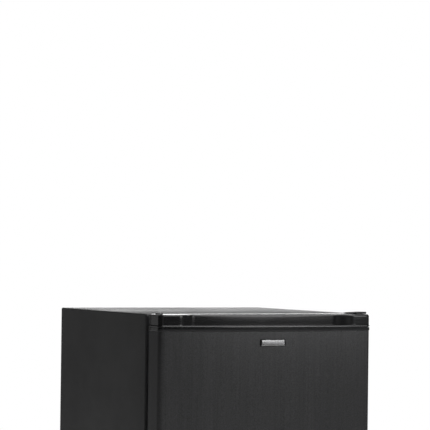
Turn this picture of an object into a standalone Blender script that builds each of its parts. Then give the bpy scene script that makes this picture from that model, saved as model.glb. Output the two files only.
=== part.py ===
"""Compact refrigerator with a bowed, right-hinged door.

+Z is up, -Y is the front and +X is the right-hand side, seen from the front. The origin is on
the floor, in the middle of the footprint. Lengths are in metres.
"""

import math

import bmesh
import bpy
from mathutils import Matrix, Vector

# Driving dimensions
WIDTH = 0.450  # cabinet, side to side
DEPTH = 0.400  # cabinet, front flange to rear edge
TOP = 0.502  # cabinet's top face
BASE = 0.018  # cabinet's underside
DOOR_GAP = 0.012  # room for the gasket
DOOR_SIDE = 0.050  # door's thickness at its sides
DOOR_BOW = 0.022  # how far the door's middle stands out
CORNER_RADIUS = 0.012  # door's vertical corners
BADGE_PROUD = 0.0014  # badge's front, ahead of the panel
LIP = 0.0012  # caps stand out this far past the panel
CAP_RISE = 0.0002  # top cap's top, above the cabinet's
TOP_CAP_HEIGHT = 0.0311
BOTTOM_CAP_HEIGHT = 0.020
DOOR_LOW = 0.0205
REAR_SPACE = 0.036  # room behind the cabinet for the condenser
SHEET = 0.0008  # steel sheet
PLASTIC = 0.0015  # thermoformed liner
CLEAR = 0.0003  # gap between neighbours
WALL = 0.045  # insulated wall, skin to skin
FLANGE = 0.036  # steel face that the gasket closes on

# Places worked out from them
HALF = WIDTH / 2
FRONT = (DOOR_GAP + DOOR_SIDE + DOOR_BOW + BADGE_PROUD - DEPTH - REAR_SPACE) / 2
BACK = FRONT + DEPTH
REAR = BACK + REAR_SPACE
DOOR_BACK = FRONT - DOOR_GAP
APEX = DOOR_BACK - DOOR_SIDE - DOOR_BOW
BOW_RADIUS = (HALF**2 + DOOR_BOW**2) / (2 * DOOR_BOW)
CAP_TOP = TOP + CAP_RISE
PANEL_HIGH = CAP_TOP - TOP_CAP_HEIGHT
PANEL_LOW = DOOR_LOW + BOTTOM_CAP_HEIGHT
HINGE = (HALF - 0.0135, DOOR_BACK - 0.018)
INSIDE = HALF - WALL  # food compartment's half width
CEILING = TOP - WALL
FLOOR = BASE + WALL
BAY_FRONT = BACK - 0.145  # compressor bay
BAY_TOP = 0.185
STEP_FRONT = BAY_FRONT - 0.040
STEP_TOP = BAY_TOP + 0.035
INSIDE_BACK = BACK - WALL

# Fittings
GRIP_HALF = 0.155
GRIP_LEDGE = CAP_TOP - 0.020
GRIP_FLOOR = CAP_TOP - 0.034
GRIP_SLOPE = math.radians(12)
GRIP_SLOPE_BACK = APEX + 0.0475
GRIP_LIP = 0.005
GRIP_BACK = 0.028
PIN_RADIUS = 0.0035
BUSH_RADIUS = 0.006
ICE_LEFT, ICE_RIGHT = -0.168, 0.122
ICE_LOW, ICE_HIGH = 0.353, 0.4482
ICE_FRONT = FRONT + 0.125
FLAP_AXIS = (FRONT + 0.109, 0.4425)
TRAY_LOW = 0.3223
SHELF_RIB = 0.228
SHELF_WIRE = 0.002
KNOB_AXIS = (0.155, 0.418)
DIAL_FRONT = FRONT + 0.150
RACK_HALF = 0.148
RACK_LOWS = {"door_rack_lower": 0.100, "door_rack_upper": 0.245}
RACK_HEIGHT = 0.055
RACK_CORNER = 0.003
RIDGE_BACK = FRONT + 0.020
SIDE_TUCK, TUCK_RUN = 0.0012, 0.015  # the door's sides lean in at their rear
ARM_LOW, ARM_HIGH = CAP_TOP + CLEAR, CAP_TOP + 0.0021
LEG_LOW = TOP - 0.018
COVER_LEFT, COVER_FRONT, COVER_REAR = 0.1985, DOOR_BACK - 0.0352, FRONT - 0.0037
COVER_TOP = TOP + 0.0044
COVER_SLOPE = math.radians(-8)
ARM_LEFT = 0.0065
HINGE_SCREWS = (0.2035, 0.2185)
HINGE_SCREW_Z = TOP - 0.0095
BRACKET_SCREWS = (0.135, 0.165)
BRACKET_Y = FRONT + 0.028
FOOT_X, FOOT_Y = 0.190, FRONT + 0.042
COMPRESSOR = Vector((-0.020, BACK - 0.072, 0.0355))
COIL_Y = BACK + 0.020
COIL_LOW, COIL_PITCH, COIL_PASSES = 0.212, 0.026, 11
COIL_HALF = 0.175
DRAIN = (0.020, BACK - 0.070)
PIPE_ENTRY = (0.090, 0.300)
CAPILLARY_ENTRY = (0.135, 0.300)
GLAND = (-0.185, 0.046)
ICE_BOSSES = [
    (x, y) for x in (ICE_LEFT + 0.02, ICE_RIGHT - 0.02) for y in (ICE_FRONT + 0.02, ICE_FRONT + 0.20)
]
WRAPPER_LOW = BASE - 0.476

PARTS = None
CUTTERS = None


# Scene and materials
def start_scene():
    global PARTS, CUTTERS
    for item in list(bpy.data.objects):
        bpy.data.objects.remove(item, do_unlink=True)
    PARTS = bpy.data.collections.new("mini_fridge")
    CUTTERS = bpy.data.collections.new("cutters")
    for collection in (PARTS, CUTTERS):
        bpy.context.scene.collection.children.link(collection)


def material(name, colour, roughness, metallic=0.0):
    made = bpy.data.materials.new(name)
    made.use_nodes = True
    shader = made.node_tree.nodes["Principled BSDF"]
    shader.inputs["Base Color"].default_value = (*colour, 1.0)
    shader.inputs["Roughness"].default_value = roughness
    shader.inputs["Metallic"].default_value = metallic
    made.diffuse_color = (*colour, 1.0)
    return made


FINISHES = {
    "charcoal_paint": ((0.030, 0.031, 0.033), 0.42, 0.0),
    "black_steel": ((0.055, 0.055, 0.058), 0.34, 1.0),
    "black_plastic": ((0.012, 0.012, 0.013), 0.35, 0.0),
    "white_plastic": ((0.78, 0.79, 0.80), 0.38, 0.0),
    "clear_plastic": ((0.70, 0.76, 0.80), 0.20, 0.0),
    "gasket_rubber": ((0.030, 0.030, 0.032), 0.65, 0.0),
    "black_rubber": ((0.02, 0.02, 0.02), 0.75, 0.0),
    "foam": ((0.80, 0.72, 0.50), 0.90, 0.0),
    "zinc": ((0.55, 0.56, 0.58), 0.38, 1.0),
    "aluminium": ((0.75, 0.76, 0.78), 0.35, 1.0),
    "copper": ((0.72, 0.38, 0.24), 0.32, 1.0),
    "black_enamel": ((0.015, 0.015, 0.016), 0.30, 0.0),
    "white_enamel": ((0.80, 0.80, 0.80), 0.35, 0.0),
}


def finish(piece, look):
    """The piece gets a material of its own, in one of the finishes."""
    colour, roughness, metallic = FINISHES[look]
    piece.data.materials.clear()
    piece.data.materials.append(material(piece.name + "_" + look, colour, roughness, metallic))
    return piece


# Shapes
def place(name, mesh, centre=(0, 0, 0)):
    piece = bpy.data.objects.new(name, mesh)
    piece.location = centre
    PARTS.objects.link(piece)
    return piece


def block(name, low, high, radius=0.0, segments=2, pick=None):
    """A box between two corners. pick chooses the edges to round from (middle, direction)."""
    low, high = Vector(low), Vector(high)
    shape = bmesh.new()
    bmesh.ops.create_cube(shape, size=1.0, matrix=Matrix.Diagonal((*(high - low), 1.0)))
    if radius:
        chosen = []
        for edge in shape.edges:
            ends = [vertex.co for vertex in edge.verts]
            if pick is None or pick((ends[0] + ends[1]) / 2, (ends[1] - ends[0]).normalized()):
                chosen.append(edge)
        bmesh.ops.bevel(
            shape, geom=chosen, offset=radius, segments=segments, profile=0.5, affect="EDGES"
        )
    return from_bmesh(name, shape, (low + high) / 2)


def from_bmesh(name, shape, centre=(0, 0, 0)):
    mesh = bpy.data.meshes.new(name)
    shape.to_mesh(mesh)
    shape.free()
    return place(name, mesh, centre)


def along_x(middle, direction):
    return abs(direction.x) > 0.5


def along_y(middle, direction):
    return abs(direction.y) > 0.5


def along_z(middle, direction):
    return abs(direction.z) > 0.5


def top_along_y(middle, direction):
    return abs(direction.y) > 0.5 and middle.z > 0


def drum(name, centre, radius, length, axis="Z", sides=20, tip=None):
    """A cylinder, or a cone with another radius at its far end."""
    quarter = math.pi / 2
    turns = {"Z": Matrix(), "X": Matrix.Rotation(quarter, 4, "Y"), "Y": Matrix.Rotation(-quarter, 4, "X")}
    shape = bmesh.new()
    far = radius if tip is None else tip
    bmesh.ops.create_cone(
        shape, cap_ends=True, segments=sides, radius1=radius, radius2=far, depth=length, matrix=turns[axis]
    )
    piece = from_bmesh(name, shape, centre)
    piece.data.shade_smooth()
    piece.data.set_sharp_from_angle(angle=math.radians(40))
    return piece


def curve_object(name, points, closed=False):
    curve = bpy.data.curves.new(name, "CURVE")
    curve.dimensions = "3D"
    spline = curve.splines.new("POLY")
    spline.points.add(len(points) - 1)
    for target, point in zip(spline.points, points):
        target.co = (*point, 1.0)
    spline.use_cyclic_u = closed
    piece = bpy.data.objects.new(name, curve)
    PARTS.objects.link(piece)
    return piece


def as_mesh(piece):
    """The curve object made a mesh of the same name, with its caps welded."""
    bpy.context.view_layer.update()
    graph = bpy.context.evaluated_depsgraph_get()
    mesh = bpy.data.meshes.new_from_object(piece.evaluated_get(graph))
    shape = bmesh.new()
    shape.from_mesh(mesh)
    bmesh.ops.remove_doubles(shape, verts=shape.verts, dist=1e-6)
    bmesh.ops.recalc_face_normals(shape, faces=shape.faces)
    shape.to_mesh(mesh)
    shape.free()
    name, matrix = piece.name, piece.matrix_world.copy()
    bpy.data.objects.remove(piece, do_unlink=True)
    made = place(name, mesh)
    made.matrix_world = matrix
    return made


def tube(name, points, radius, closed=False):
    piece = curve_object(name, points, closed)
    piece.data.bevel_depth = radius
    piece.data.bevel_resolution = 2
    piece.data.use_fill_caps = not closed
    return piece


def bent(points, radius, steps=4, closed=False):
    """A polyline's points with each corner turned into an arc."""
    points = [Vector(point) for point in points]
    count = len(points)
    path = []
    for i, corner in enumerate(points):
        if not closed and i in (0, count - 1):
            path.append(corner)
            continue
        before = (points[i - 1] - corner).normalized()
        after = (points[(i + 1) % count] - corner).normalized()
        angle = before.angle(after)
        reach = radius / math.tan(angle / 2)
        centre = corner + (before + after).normalized() * radius / math.sin(angle / 2)
        start = corner + before * reach - centre
        end = corner + after * reach - centre
        turn = start.angle(end)
        for step in range(steps + 1):
            part = step / steps
            mix = (start * math.sin((1 - part) * turn) + end * math.sin(part * turn)) / math.sin(turn)
            path.append(centre + mix)
    return path


def slab(name, outline, low, high):
    """A flat closed outline, filled, from one height to another."""
    piece = curve_object(name, [(x, y, 0.0) for x, y in outline], closed=True)
    piece.data.dimensions = "2D"
    piece.data.fill_mode = "BOTH"
    piece.data.extrude = (high - low) / 2
    piece.location.z = (low + high) / 2
    return as_mesh(piece)


def folded_sheet(name, path, half, thickness):
    """A sheet that follows (y, z) points, as wide as twice half, thickened to the path's left."""
    piece = curve_object(name, [(y, z, 0.0) for y, z in path])
    piece.data.extrude = half
    piece = as_mesh(piece)
    piece.data.transform(Matrix(((0, 0, 1, 0), (1, 0, 0, 0), (0, 1, 0, 0), (0, 0, 0, 1))))
    return thicken(piece, thickness, 1)


def thicken(piece, thickness, side):
    shell = piece.modifiers.new("sheet", "SOLIDIFY")
    shell.thickness = thickness
    shell.use_even_offset = True
    shell.offset = side
    return piece


def hide(helper):
    PARTS.objects.unlink(helper)
    CUTTERS.objects.link(helper)
    helper.hide_render = True
    helper.display_type = "WIRE"


def combine(piece, operation, helpers):
    for helper in helpers:
        modifier = piece.modifiers.new(helper.name, "BOOLEAN")
        modifier.operation = operation
        modifier.solver = "EXACT"
        modifier.object = helper
        hide(helper)
    return piece


def join(piece, *helpers):
    return combine(piece, "UNION", helpers)


def cut(piece, *helpers):
    return combine(piece, "DIFFERENCE", helpers)


def drill(piece, label, x, y, low, high, radius):
    return cut(piece, drum(f"{piece.name}_{label}", (x, y, (low + high) / 2), radius, high - low))


def ride(joint_name, position, pieces):
    """An empty on the joint's axis carries the pieces."""
    axis = bpy.data.objects.new(joint_name, None)
    axis.empty_display_size = 0.03
    axis.location = position
    PARTS.objects.link(axis)
    for piece in pieces:
        piece.parent = axis
        piece.matrix_parent_inverse = Matrix.Translation(-Vector(position))


# Cabinet
def cabinet_wrapper():
    skin = block("cabinet_wrapper", (-HALF, FRONT, BASE), (HALF, BACK, TOP), 0.003, 3, top_along_y)
    inner = HALF - SHEET
    hollow = block(
        "wrapper_hollow",
        (-inner, FRONT + SHEET, WRAPPER_LOW),
        (inner, BACK + 0.02, TOP - SHEET),
        0.0022,
        3,
        top_along_y,
    )
    mouth = HALF - FLANGE
    far = (mouth, FRONT + 0.01, TOP - FLANGE)
    opening = block("wrapper_mouth", (-mouth, FRONT - 0.01, BASE - 0.01), far)
    cut(skin, hollow, opening)
    for i, x in enumerate(HINGE_SCREWS):
        cut(skin, drum(f"screw_hole_{i}", (x, FRONT, HINGE_SCREW_Z), 0.0024, 0.010, "Y"))
    return finish(skin, "charcoal_paint")


def bottom_pan():
    """One folded sheet: front flange, floor, the bay's riser and the bay's roof."""
    inner = HALF - SHEET - CLEAR
    mouth = HALF - FLANGE - CLEAR
    path = [(FRONT, BASE + FLANGE), (FRONT, BASE), (BAY_FRONT, BASE)]
    path += [(BAY_FRONT, BAY_TOP - SHEET), (BACK - 0.0018, BAY_TOP - SHEET)]
    pan = folded_sheet("bottom_pan", path, inner, SHEET)
    for side in (-1, 1):
        xs = sorted((side * mouth, side * HALF))
        corner = (xs[1], FRONT + SHEET + CLEAR, BASE + FLANGE + 0.01)
        cut(pan, block(f"pan_corner_{side}", (xs[0], FRONT - 0.01, BASE - 0.01), corner))
    for side in (-1, 1):
        drill(pan, f"foot_hole_{side}", side * FOOT_X, FOOT_Y, BASE - 0.01, BASE + 0.01, 0.0044)
    for i, x in enumerate(BRACKET_SCREWS):
        drill(pan, f"bracket_hole_{i}", x, BRACKET_Y, BASE - 0.01, BASE + 0.01, 0.0024)
    drill(pan, "drain_hole", DRAIN[0], DRAIN[1], BAY_TOP - 0.01, BAY_TOP + 0.01, 0.0054)
    return finish(pan, "zinc")


def back_panel():
    inner = HALF - SHEET - CLEAR
    panel = block(
        "back_panel",
        (-inner, BACK - 0.0012, BAY_TOP + CLEAR),
        (inner, BACK - 0.0012 + SHEET, TOP - SHEET - CLEAR),
        0.0022,
        1,
        top_along_y,
    )
    for label, (x, z), radius in (("suction", PIPE_ENTRY, 0.0036), ("capillary", CAPILLARY_ENTRY, 0.0014)):
        cut(panel, drum(f"back_{label}_hole", (x, BACK, z), radius, 0.02, "Y"))
    return finish(panel, "zinc")


def cabinet_foam():
    inner = HALF - SHEET - CLEAR
    foam = block(
        "cabinet_foam",
        (-inner, FRONT + SHEET + CLEAR, BASE + SHEET + CLEAR),
        (inner, BACK - 0.0015, TOP - SHEET - CLEAR),
        0.0022,
        1,
        top_along_y,
    )
    edge = PLASTIC + CLEAR
    bay = block(
        "foam_bay", (-HALF, BAY_FRONT - SHEET - CLEAR, BASE - 0.01), (HALF, BACK + 0.01, BAY_TOP + CLEAR)
    )
    low = block(
        "foam_low",
        (-INSIDE - edge, FRONT - 0.01, FLOOR - edge),
        (INSIDE + edge, STEP_FRONT + edge, CEILING + edge),
    )
    high = block(
        "foam_high",
        (-INSIDE - edge, FRONT - 0.01, STEP_TOP - edge),
        (INSIDE + edge, INSIDE_BACK + edge, CEILING + edge),
    )
    rim = HALF - FLANGE
    rim_rear = FRONT + PLASTIC + CLEAR
    seat = block("foam_rim", (-rim, FRONT - 0.01, BASE + FLANGE), (rim, rim_rear, TOP - FLANGE))
    cut(foam, bay, low, high, seat)
    for side in (-1, 1):
        drill(foam, f"foot_pocket_{side}", side * FOOT_X, FOOT_Y, BASE - 0.01, BASE + 0.018, 0.0055)
    for i, x in enumerate(BRACKET_SCREWS):
        drill(foam, f"bracket_pocket_{i}", x, BRACKET_Y, BASE - 0.01, BASE + 0.010, 0.003)
    for i, x in enumerate(HINGE_SCREWS):
        cut(foam, drum(f"hinge_pocket_{i}", (x, FRONT, HINGE_SCREW_Z), 0.003, 0.028, "Y"))
    drill(foam, "drain_pocket", DRAIN[0], DRAIN[1], BAY_TOP - 0.01, STEP_TOP + 0.01, 0.0054)
    for label, (x, z), radius in (("suction", PIPE_ENTRY, 0.004), ("capillary", CAPILLARY_ENTRY, 0.002)):
        cut(foam, drum(f"foam_{label}_pocket", (x, BACK - 0.01, z), radius, 0.05, "Y"))
    return finish(foam, "foam")


def cabinet_liner():
    edge = PLASTIC
    left, right = -INSIDE - edge, INSIDE + edge
    far = (right, INSIDE_BACK + edge, CEILING + edge)
    liner = block("cabinet_liner", (left, FRONT, STEP_TOP - edge), far)
    lower = block("liner_lower", (left, FRONT, FLOOR - edge), (right, STEP_FRONT + edge, STEP_TOP + 0.02))
    rim = HALF - FLANGE - CLEAR
    rim_high = (rim, FRONT + edge, TOP - FLANGE - CLEAR)
    frame = block("liner_rim", (-rim, FRONT, BASE + FLANGE + CLEAR), rim_high)
    join(liner, lower, frame)
    far = (INSIDE, INSIDE_BACK, CEILING)
    upper_space = block("liner_upper_space", (-INSIDE, FRONT - 0.01, STEP_TOP), far)
    lower_space = block("liner_lower_space", (-INSIDE, FRONT - 0.01, FLOOR), (INSIDE, STEP_FRONT, CEILING))
    cut(liner, upper_space, lower_space)
    ribs = (
        ("low", 0.140, STEP_FRONT + 0.0005),
        ("shelf", SHELF_RIB, INSIDE_BACK - 0.010),
        ("high", 0.276, INSIDE_BACK - 0.010),
        ("tray", TRAY_LOW - CLEAR, INSIDE_BACK - 0.010),
    )
    for label, top, end in ribs:
        for side in (-1, 1):
            xs = sorted((side * (INSIDE - 0.008), side * (INSIDE + 0.0008)))
            rib = block(f"liner_rib_{label}_{side}", (xs[0], FRONT + 0.085, top - 0.004), (xs[1], end, top))
            join(liner, rib)
    boss_low, boss_high = ICE_HIGH + CLEAR, CEILING + 0.0008
    for i, (x, y) in enumerate(ICE_BOSSES):
        middle = (x, y, (boss_low + boss_high) / 2)
        join(liner, drum(f"liner_boss_{i}", middle, 0.006, boss_high - boss_low, sides=12))
    drill(liner, "drain_hole", DRAIN[0], DRAIN[1], STEP_TOP - 0.01, STEP_TOP + 0.01, 0.0034)
    return finish(liner, "white_plastic")


# Hinges and feet
def top_hinge():
    """An angle screwed to the cabinet's face, its arm over the door's top."""
    x, y = HINGE
    left, right = HINGE_SCREWS[0] - 0.0050, HINGE_SCREWS[1] + 0.0045
    near, far = FRONT - 0.0023, FRONT - CLEAR
    arm = x - ARM_LEFT
    plate = block("top_hinge_plate", (arm, y - 0.009, ARM_LOW), (right, far, ARM_HIGH), 0.004, 2, along_z)
    heel = block("hinge_heel", (arm, near, ARM_LOW), (right, far, ARM_HIGH))
    leg = block("hinge_leg", (left, near, LEG_LOW), (right, far, ARM_HIGH), 0.002, 2, along_y)
    pin_low = CAP_TOP - 0.019
    pin = drum("hinge_pin", (x, y, (pin_low + ARM_HIGH) / 2), PIN_RADIUS, ARM_HIGH - pin_low)
    join(plate, heel, leg, pin)
    pieces = [finish(plate, "zinc")]
    for label, screw_x in zip(("left", "right"), HINGE_SCREWS):
        cut(plate, drum(f"{label}_hole", (screw_x, FRONT, HINGE_SCREW_Z), 0.0024, 0.02, "Y"))
        crown = (screw_x, near - CLEAR - 0.0009, HINGE_SCREW_Z)
        head = drum(f"top_hinge_screw_{label}", crown, 0.0036, 0.0018, "Y")
        shank = (screw_x, FRONT + 0.004, HINGE_SCREW_Z)
        join(head, drum(f"{label}_hinge_shank", shank, 0.002, 0.0146, "Y", 12))
        pieces.append(finish(head, "zinc"))
    return pieces


def hinge_cover():
    """A shallow shell over the hinge's arm, lower at its left."""
    low, high = ARM_LOW + 0.0001, COVER_TOP
    wall = 0.0012
    right = HALF + LIP
    far = (right, COVER_REAR, high)
    cover = block("hinge_cover", (COVER_LEFT, COVER_FRONT, low), far, 0.006, 3, along_z)
    slope = block("cover_slope", (-0.030, COVER_FRONT - 0.01, 0), (0, COVER_REAR + 0.01, 0.010))
    pivot = Vector((COVER_LEFT + 0.0155, slope.location.y, high))
    slope.rotation_euler.y = COVER_SLOPE
    slope.location = pivot + Matrix.Rotation(COVER_SLOPE, 3, "Y") @ Vector((-0.015, 0, 0.005))
    inside_low = (HINGE[0] - ARM_LEFT - CLEAR, COVER_FRONT + wall, low - 0.01)
    hollow = block("cover_hollow", inside_low, (right - wall, COVER_REAR + 0.01, ARM_HIGH + CLEAR))
    return finish(cut(cover, slope, hollow), "black_plastic")


def bottom_hinge():
    x, y = HINGE
    low, high = BASE - 0.0037, BASE - 0.0007
    bracket = block(
        "bottom_hinge_bracket",
        (0.120, FRONT + 0.004, low),
        (HALF - 0.006, FRONT + 0.060, high),
        0.005,
        2,
        along_z,
    )
    far = (x + 0.012, FRONT + 0.03, high)
    arm = block("bracket_arm", (x - 0.014, y - 0.012, low), far, 0.004, 2, along_z)
    pin = drum("bracket_pin", (x, y, (low + 0.0395) / 2), PIN_RADIUS, 0.0395 - low)
    join(bracket, arm, pin)
    drill(bracket, "foot_hole", FOOT_X, FOOT_Y, BASE - 0.01, BASE + 0.01, 0.0044)
    pieces = [finish(bracket, "zinc")]
    for label, screw_x in zip(("inner", "outer"), BRACKET_SCREWS):
        drill(bracket, f"{label}_hole", screw_x, BRACKET_Y, BASE - 0.01, BASE + 0.01, 0.0024)
        head = drum(f"bottom_hinge_screw_{label}", (screw_x, BRACKET_Y, low - 0.0014), 0.0042, 0.0022)
        middle = (screw_x, BRACKET_Y, BASE + 0.002)
        join(head, drum(f"{label}_bracket_shank", middle, 0.002, 0.0125, sides=12))
        pieces.append(finish(head, "zinc"))
    return pieces


def rear_foot(label, side):
    centre = (side * FOOT_X, BACK - 0.022, (BASE - CLEAR) / 2)
    foot = drum(f"rear_foot_{label}", centre, 0.011, BASE - CLEAR, tip=0.013)
    return finish(foot, "black_rubber")


def levelling_foot(label, side):
    pad = drum(f"levelling_foot_{label}", (side * FOOT_X, FOOT_Y, 0.0045), 0.016, 0.009, sides=24)
    stud = drum(f"foot_stud_{label}", (side * FOOT_X, FOOT_Y, 0.019), 0.0040, 0.030)
    join(pad, stud)
    for turn in range(6):
        angle = turn * math.pi / 3
        notch = (side * FOOT_X + 0.0175 * math.cos(angle), FOOT_Y + 0.0175 * math.sin(angle), 0.0045)
        cut(pad, drum(f"foot_notch_{label}_{turn}", notch, 0.003, 0.02, sides=10))
    ride(f"{label}_foot_axis", (side * FOOT_X, FOOT_Y, 0), [pad])
    return finish(pad, "black_plastic")


# Inside the food compartment
def evaporator_box():
    rear = INSIDE_BACK - 0.010
    far = (ICE_RIGHT, rear, ICE_HIGH)
    box = block("evaporator_box", (ICE_LEFT, ICE_FRONT, ICE_LOW), far, 0.006, 3, along_y)
    edge = 0.0018
    space = block(
        "ice_space",
        (ICE_LEFT + edge, ICE_FRONT - 0.01, ICE_LOW + edge),
        (ICE_RIGHT - edge, rear - edge, ICE_HIGH - edge),
        0.0042,
        3,
        along_y,
    )
    return finish(cut(box, space), "aluminium")


def icebox_frame():
    y, z = FLAP_AXIS
    left, right = ICE_LEFT - 0.003, ICE_RIGHT + 0.003
    low, high = ICE_LOW - 0.003, ICE_HIGH + 0.0015
    far = (right, ICE_FRONT - CLEAR, high)
    frame = block("icebox_frame", (left, y + 0.004, low), far, 0.003, 2, along_y)
    ears = []
    for label, x in (("left", left), ("right", right - 0.005)):
        far = (x + 0.005, y + 0.006, z + 0.005)
        ears.append(block(f"frame_ear_{label}", (x, y - 0.005, z - 0.0065), far))
    join(frame, *ears)
    window = block(
        "frame_window",
        (left + 0.011, y - 0.02, low + 0.009),
        (right - 0.011, ICE_FRONT + 0.01, high - 0.010),
    )
    bore = drum("frame_bore", ((left + right) / 2, y, z), 0.0023, right - left + 0.02, "X")
    return finish(cut(frame, window, bore), "white_plastic")


def icebox_flap():
    y, z = FLAP_AXIS
    left, right = ICE_LEFT + 0.0025, ICE_RIGHT - 0.0025
    plate = block("icebox_flap", (left, y - 0.0025, ICE_LOW), (right, y + 0.0025, z + 0.0024), 0.0012, 1)
    pins = drum("flap_pins", ((left + right) / 2, y, z), 0.0020, right - left + 0.009, "X", sides=14)
    pull = block("flap_pull", (-0.063, y - 0.010, ICE_LOW + 0.004), (0.017, y, ICE_LOW + 0.007))
    join(plate, pins, pull)
    ride("flap_axis", (0, y, z), [plate])
    return finish(plate, "clear_plastic")


def drip_tray():
    low = TRAY_LOW
    near, far = FRONT + 0.113, INSIDE_BACK - 0.010
    tray = block("drip_tray", (-0.1775, near, low), (0.1775, far, low + 0.020))
    hollow = block("tray_hollow", (-0.1755, near + 0.0025, low + 0.002), (0.1755, far - 0.002, low + 0.03))
    ride("drip_tray_axis", (0, FRONT + 0.113, low), [tray])
    return finish(cut(tray, hollow), "clear_plastic")


def wire_shelf():
    z = SHELF_RIB + CLEAR + SHELF_WIRE
    near, far = FRONT + 0.094, INSIDE_BACK - 0.014
    corners = [(-0.175, near, z), (0.175, near, z), (0.175, far, z), (-0.175, far, z)]
    rim = as_mesh(tube("wire_shelf", bent(corners, 0.012, 4, closed=True), SHELF_WIRE, closed=True))
    bars = [drum("shelf_bar", (0, (near + far) / 2, z), SHELF_WIRE * 0.97, 0.350, "X", sides=10)]
    count = 15
    for i in range(count):
        middle = (0.150 * (2 * i / (count - 1) - 1), (near + far) / 2, z + 0.0022)
        bars.append(drum(f"shelf_wire_{i}", middle, 0.00125, far - near + 0.001, "Y", sides=8))
    join(rim, *bars)
    ride("shelf_axis", (0, near, z), [rim])
    return finish(rim, "white_enamel")


def thermostat():
    x, z = KNOB_AXIS
    corner = (INSIDE - CLEAR, DIAL_FRONT + 0.075, CEILING - CLEAR)
    housing = block("thermostat_housing", (0.131, DIAL_FRONT, z - 0.027), corner, 0.004, 2, along_y)
    cut(housing, drum("shaft_hole", (x, DIAL_FRONT, z), 0.0033, 0.018, "Y"))
    knob = drum("thermostat_knob", (x, DIAL_FRONT - 0.0083, z), 0.0165, 0.016, "Y", 28)
    join(knob, drum("knob_shaft", (x, DIAL_FRONT + 0.001, z), 0.003, 0.014, "Y"))
    for turn in range(14):
        angle = turn * math.pi / 7
        centre = (x + 0.0172 * math.cos(angle), DIAL_FRONT - 0.014, z + 0.0172 * math.sin(angle))
        cut(knob, drum(f"knob_flute_{turn}", centre, 0.0016, 0.012, "Y", 8))
    ride("knob_axis", (x, DIAL_FRONT, z), [knob])
    return [finish(housing, "white_plastic"), finish(knob, "white_plastic")]


# Machinery
def compressor_tray():
    inner = HALF - SHEET - CLEAR
    tray = block("compressor_tray", (-inner, BAY_FRONT + CLEAR, BASE), (inner, BACK - 0.001, BASE + 0.0015))
    tab = block("tray_cord_tab", (-0.205, BACK - 0.0045, BASE), (-0.165, BACK - 0.003, 0.062))
    join(tray, tab)
    cut(tray, drum("tab_hole", (GLAND[0], BACK, GLAND[1]), 0.0073, 0.02, "Y"))
    for i, (x, y) in enumerate(compressor_feet()):
        drill(tray, f"bolt_hole_{i}", x, y, BASE - 0.01, BASE + 0.01, 0.0036)
    return finish(tray, "zinc")


def cord_gland():
    x, z = GLAND
    gland = drum("cord_gland", (x, BACK - 0.003, z), 0.0070, 0.016, "Y")
    join(gland, drum("gland_flange", (x, BACK - 0.0015, z), 0.0100, 0.0022, "Y"))
    cut(gland, drum("gland_bore", (x, BACK, z), 0.0038, 0.04, "Y", 16))
    return finish(gland, "black_rubber")


def compressor_feet():
    return [(COMPRESSOR.x + sx * 0.074, COMPRESSOR.y + sy * 0.042) for sx in (-1, 1) for sy in (-1, 1)]


def compressor():
    """A turned shell, oval in plan, welded to its foot plate."""
    profile = [(0.0, 0.122), (0.022, 0.121), (0.040, 0.112), (0.050, 0.094), (0.053, 0.070)]
    profile += [(0.0555, 0.068), (0.0555, 0.062), (0.053, 0.060), (0.051, 0.025)]
    profile += [(0.042, 0.006), (0.0, 0.0)]
    mesh = bpy.data.meshes.new("compressor")
    points = [(x, 0.0, z) for x, z in profile]
    mesh.from_pydata(points, [(i, i + 1) for i in range(len(points) - 1)], [])
    shell = place("compressor", mesh, COMPRESSOR)
    screw = shell.modifiers.new("turn", "SCREW")
    screw.axis = "Z"
    screw.steps = screw.render_steps = 28
    screw.use_merge_vertices = True
    screw.merge_threshold = 0.00005
    shell.scale.x = 1.42
    base = block("compressor_base", (-0.086, -0.052, -0.002), (0.086, 0.052, 0.002), 0.010, 2, along_z)
    base.location += COMPRESSOR
    join(shell, base)
    for i, (x, y) in enumerate(compressor_feet()):
        drill(shell, f"foot_hole_{i}", x, y, COMPRESSOR.z - 0.01, COMPRESSOR.z + 0.01, 0.0036)
    return finish(shell, "black_enamel")


def compressor_mounts():
    pieces = []
    low, high = BASE + 0.0015 + CLEAR, COMPRESSOR.z - 0.002 - CLEAR
    for i, (x, y) in enumerate(compressor_feet(), 1):
        grommet = drum(f"compressor_grommet_{i}", (x, y, (low + high) / 2), 0.009, high - low)
        drill(grommet, "bore", x, y, low - 0.01, high + 0.01, 0.0040)
        bolt = drum(f"compressor_bolt_{i}", (x, y, COMPRESSOR.z + 0.0043), 0.0062, 0.004, sides=6)
        join(bolt, drum(f"bolt_shank_{i}", (x, y, 0.0268), 0.0032, 0.027, sides=12))
        pieces += [finish(grommet, "black_rubber"), finish(bolt, "zinc")]
    return pieces


def terminal_cover():
    """A cover over the electrical terminals on the compressor's right side."""
    x = COMPRESSOR.x + 0.0555 * 1.42 + 0.001
    low, high = (x, COMPRESSOR.y - 0.028, 0.058), (x + 0.038, COMPRESSOR.y + 0.028, 0.108)
    cover = block("terminal_cover", low, high, 0.004, 2)
    return finish(cover, "black_plastic")


def coil_height(i):
    return COIL_LOW + i * COIL_PITCH


def condenser_coil():
    left, right = -COIL_HALF, COIL_HALF
    points = [(left, COIL_Y, 0.1900)]
    for i in range(COIL_PASSES - 1):
        ends = (left, right) if i % 2 == 0 else (right, left)
        points += [(ends[0], COIL_Y, coil_height(i)), (ends[1], COIL_Y, coil_height(i))]
    last = coil_height(COIL_PASSES - 1)
    points += [(left, COIL_Y, last), (0.200, COIL_Y, last), (0.200, COIL_Y, 0.1700)]
    return finish(tube("condenser_coil", bent(points, 0.012, 3), 0.0024), "black_enamel")


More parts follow.
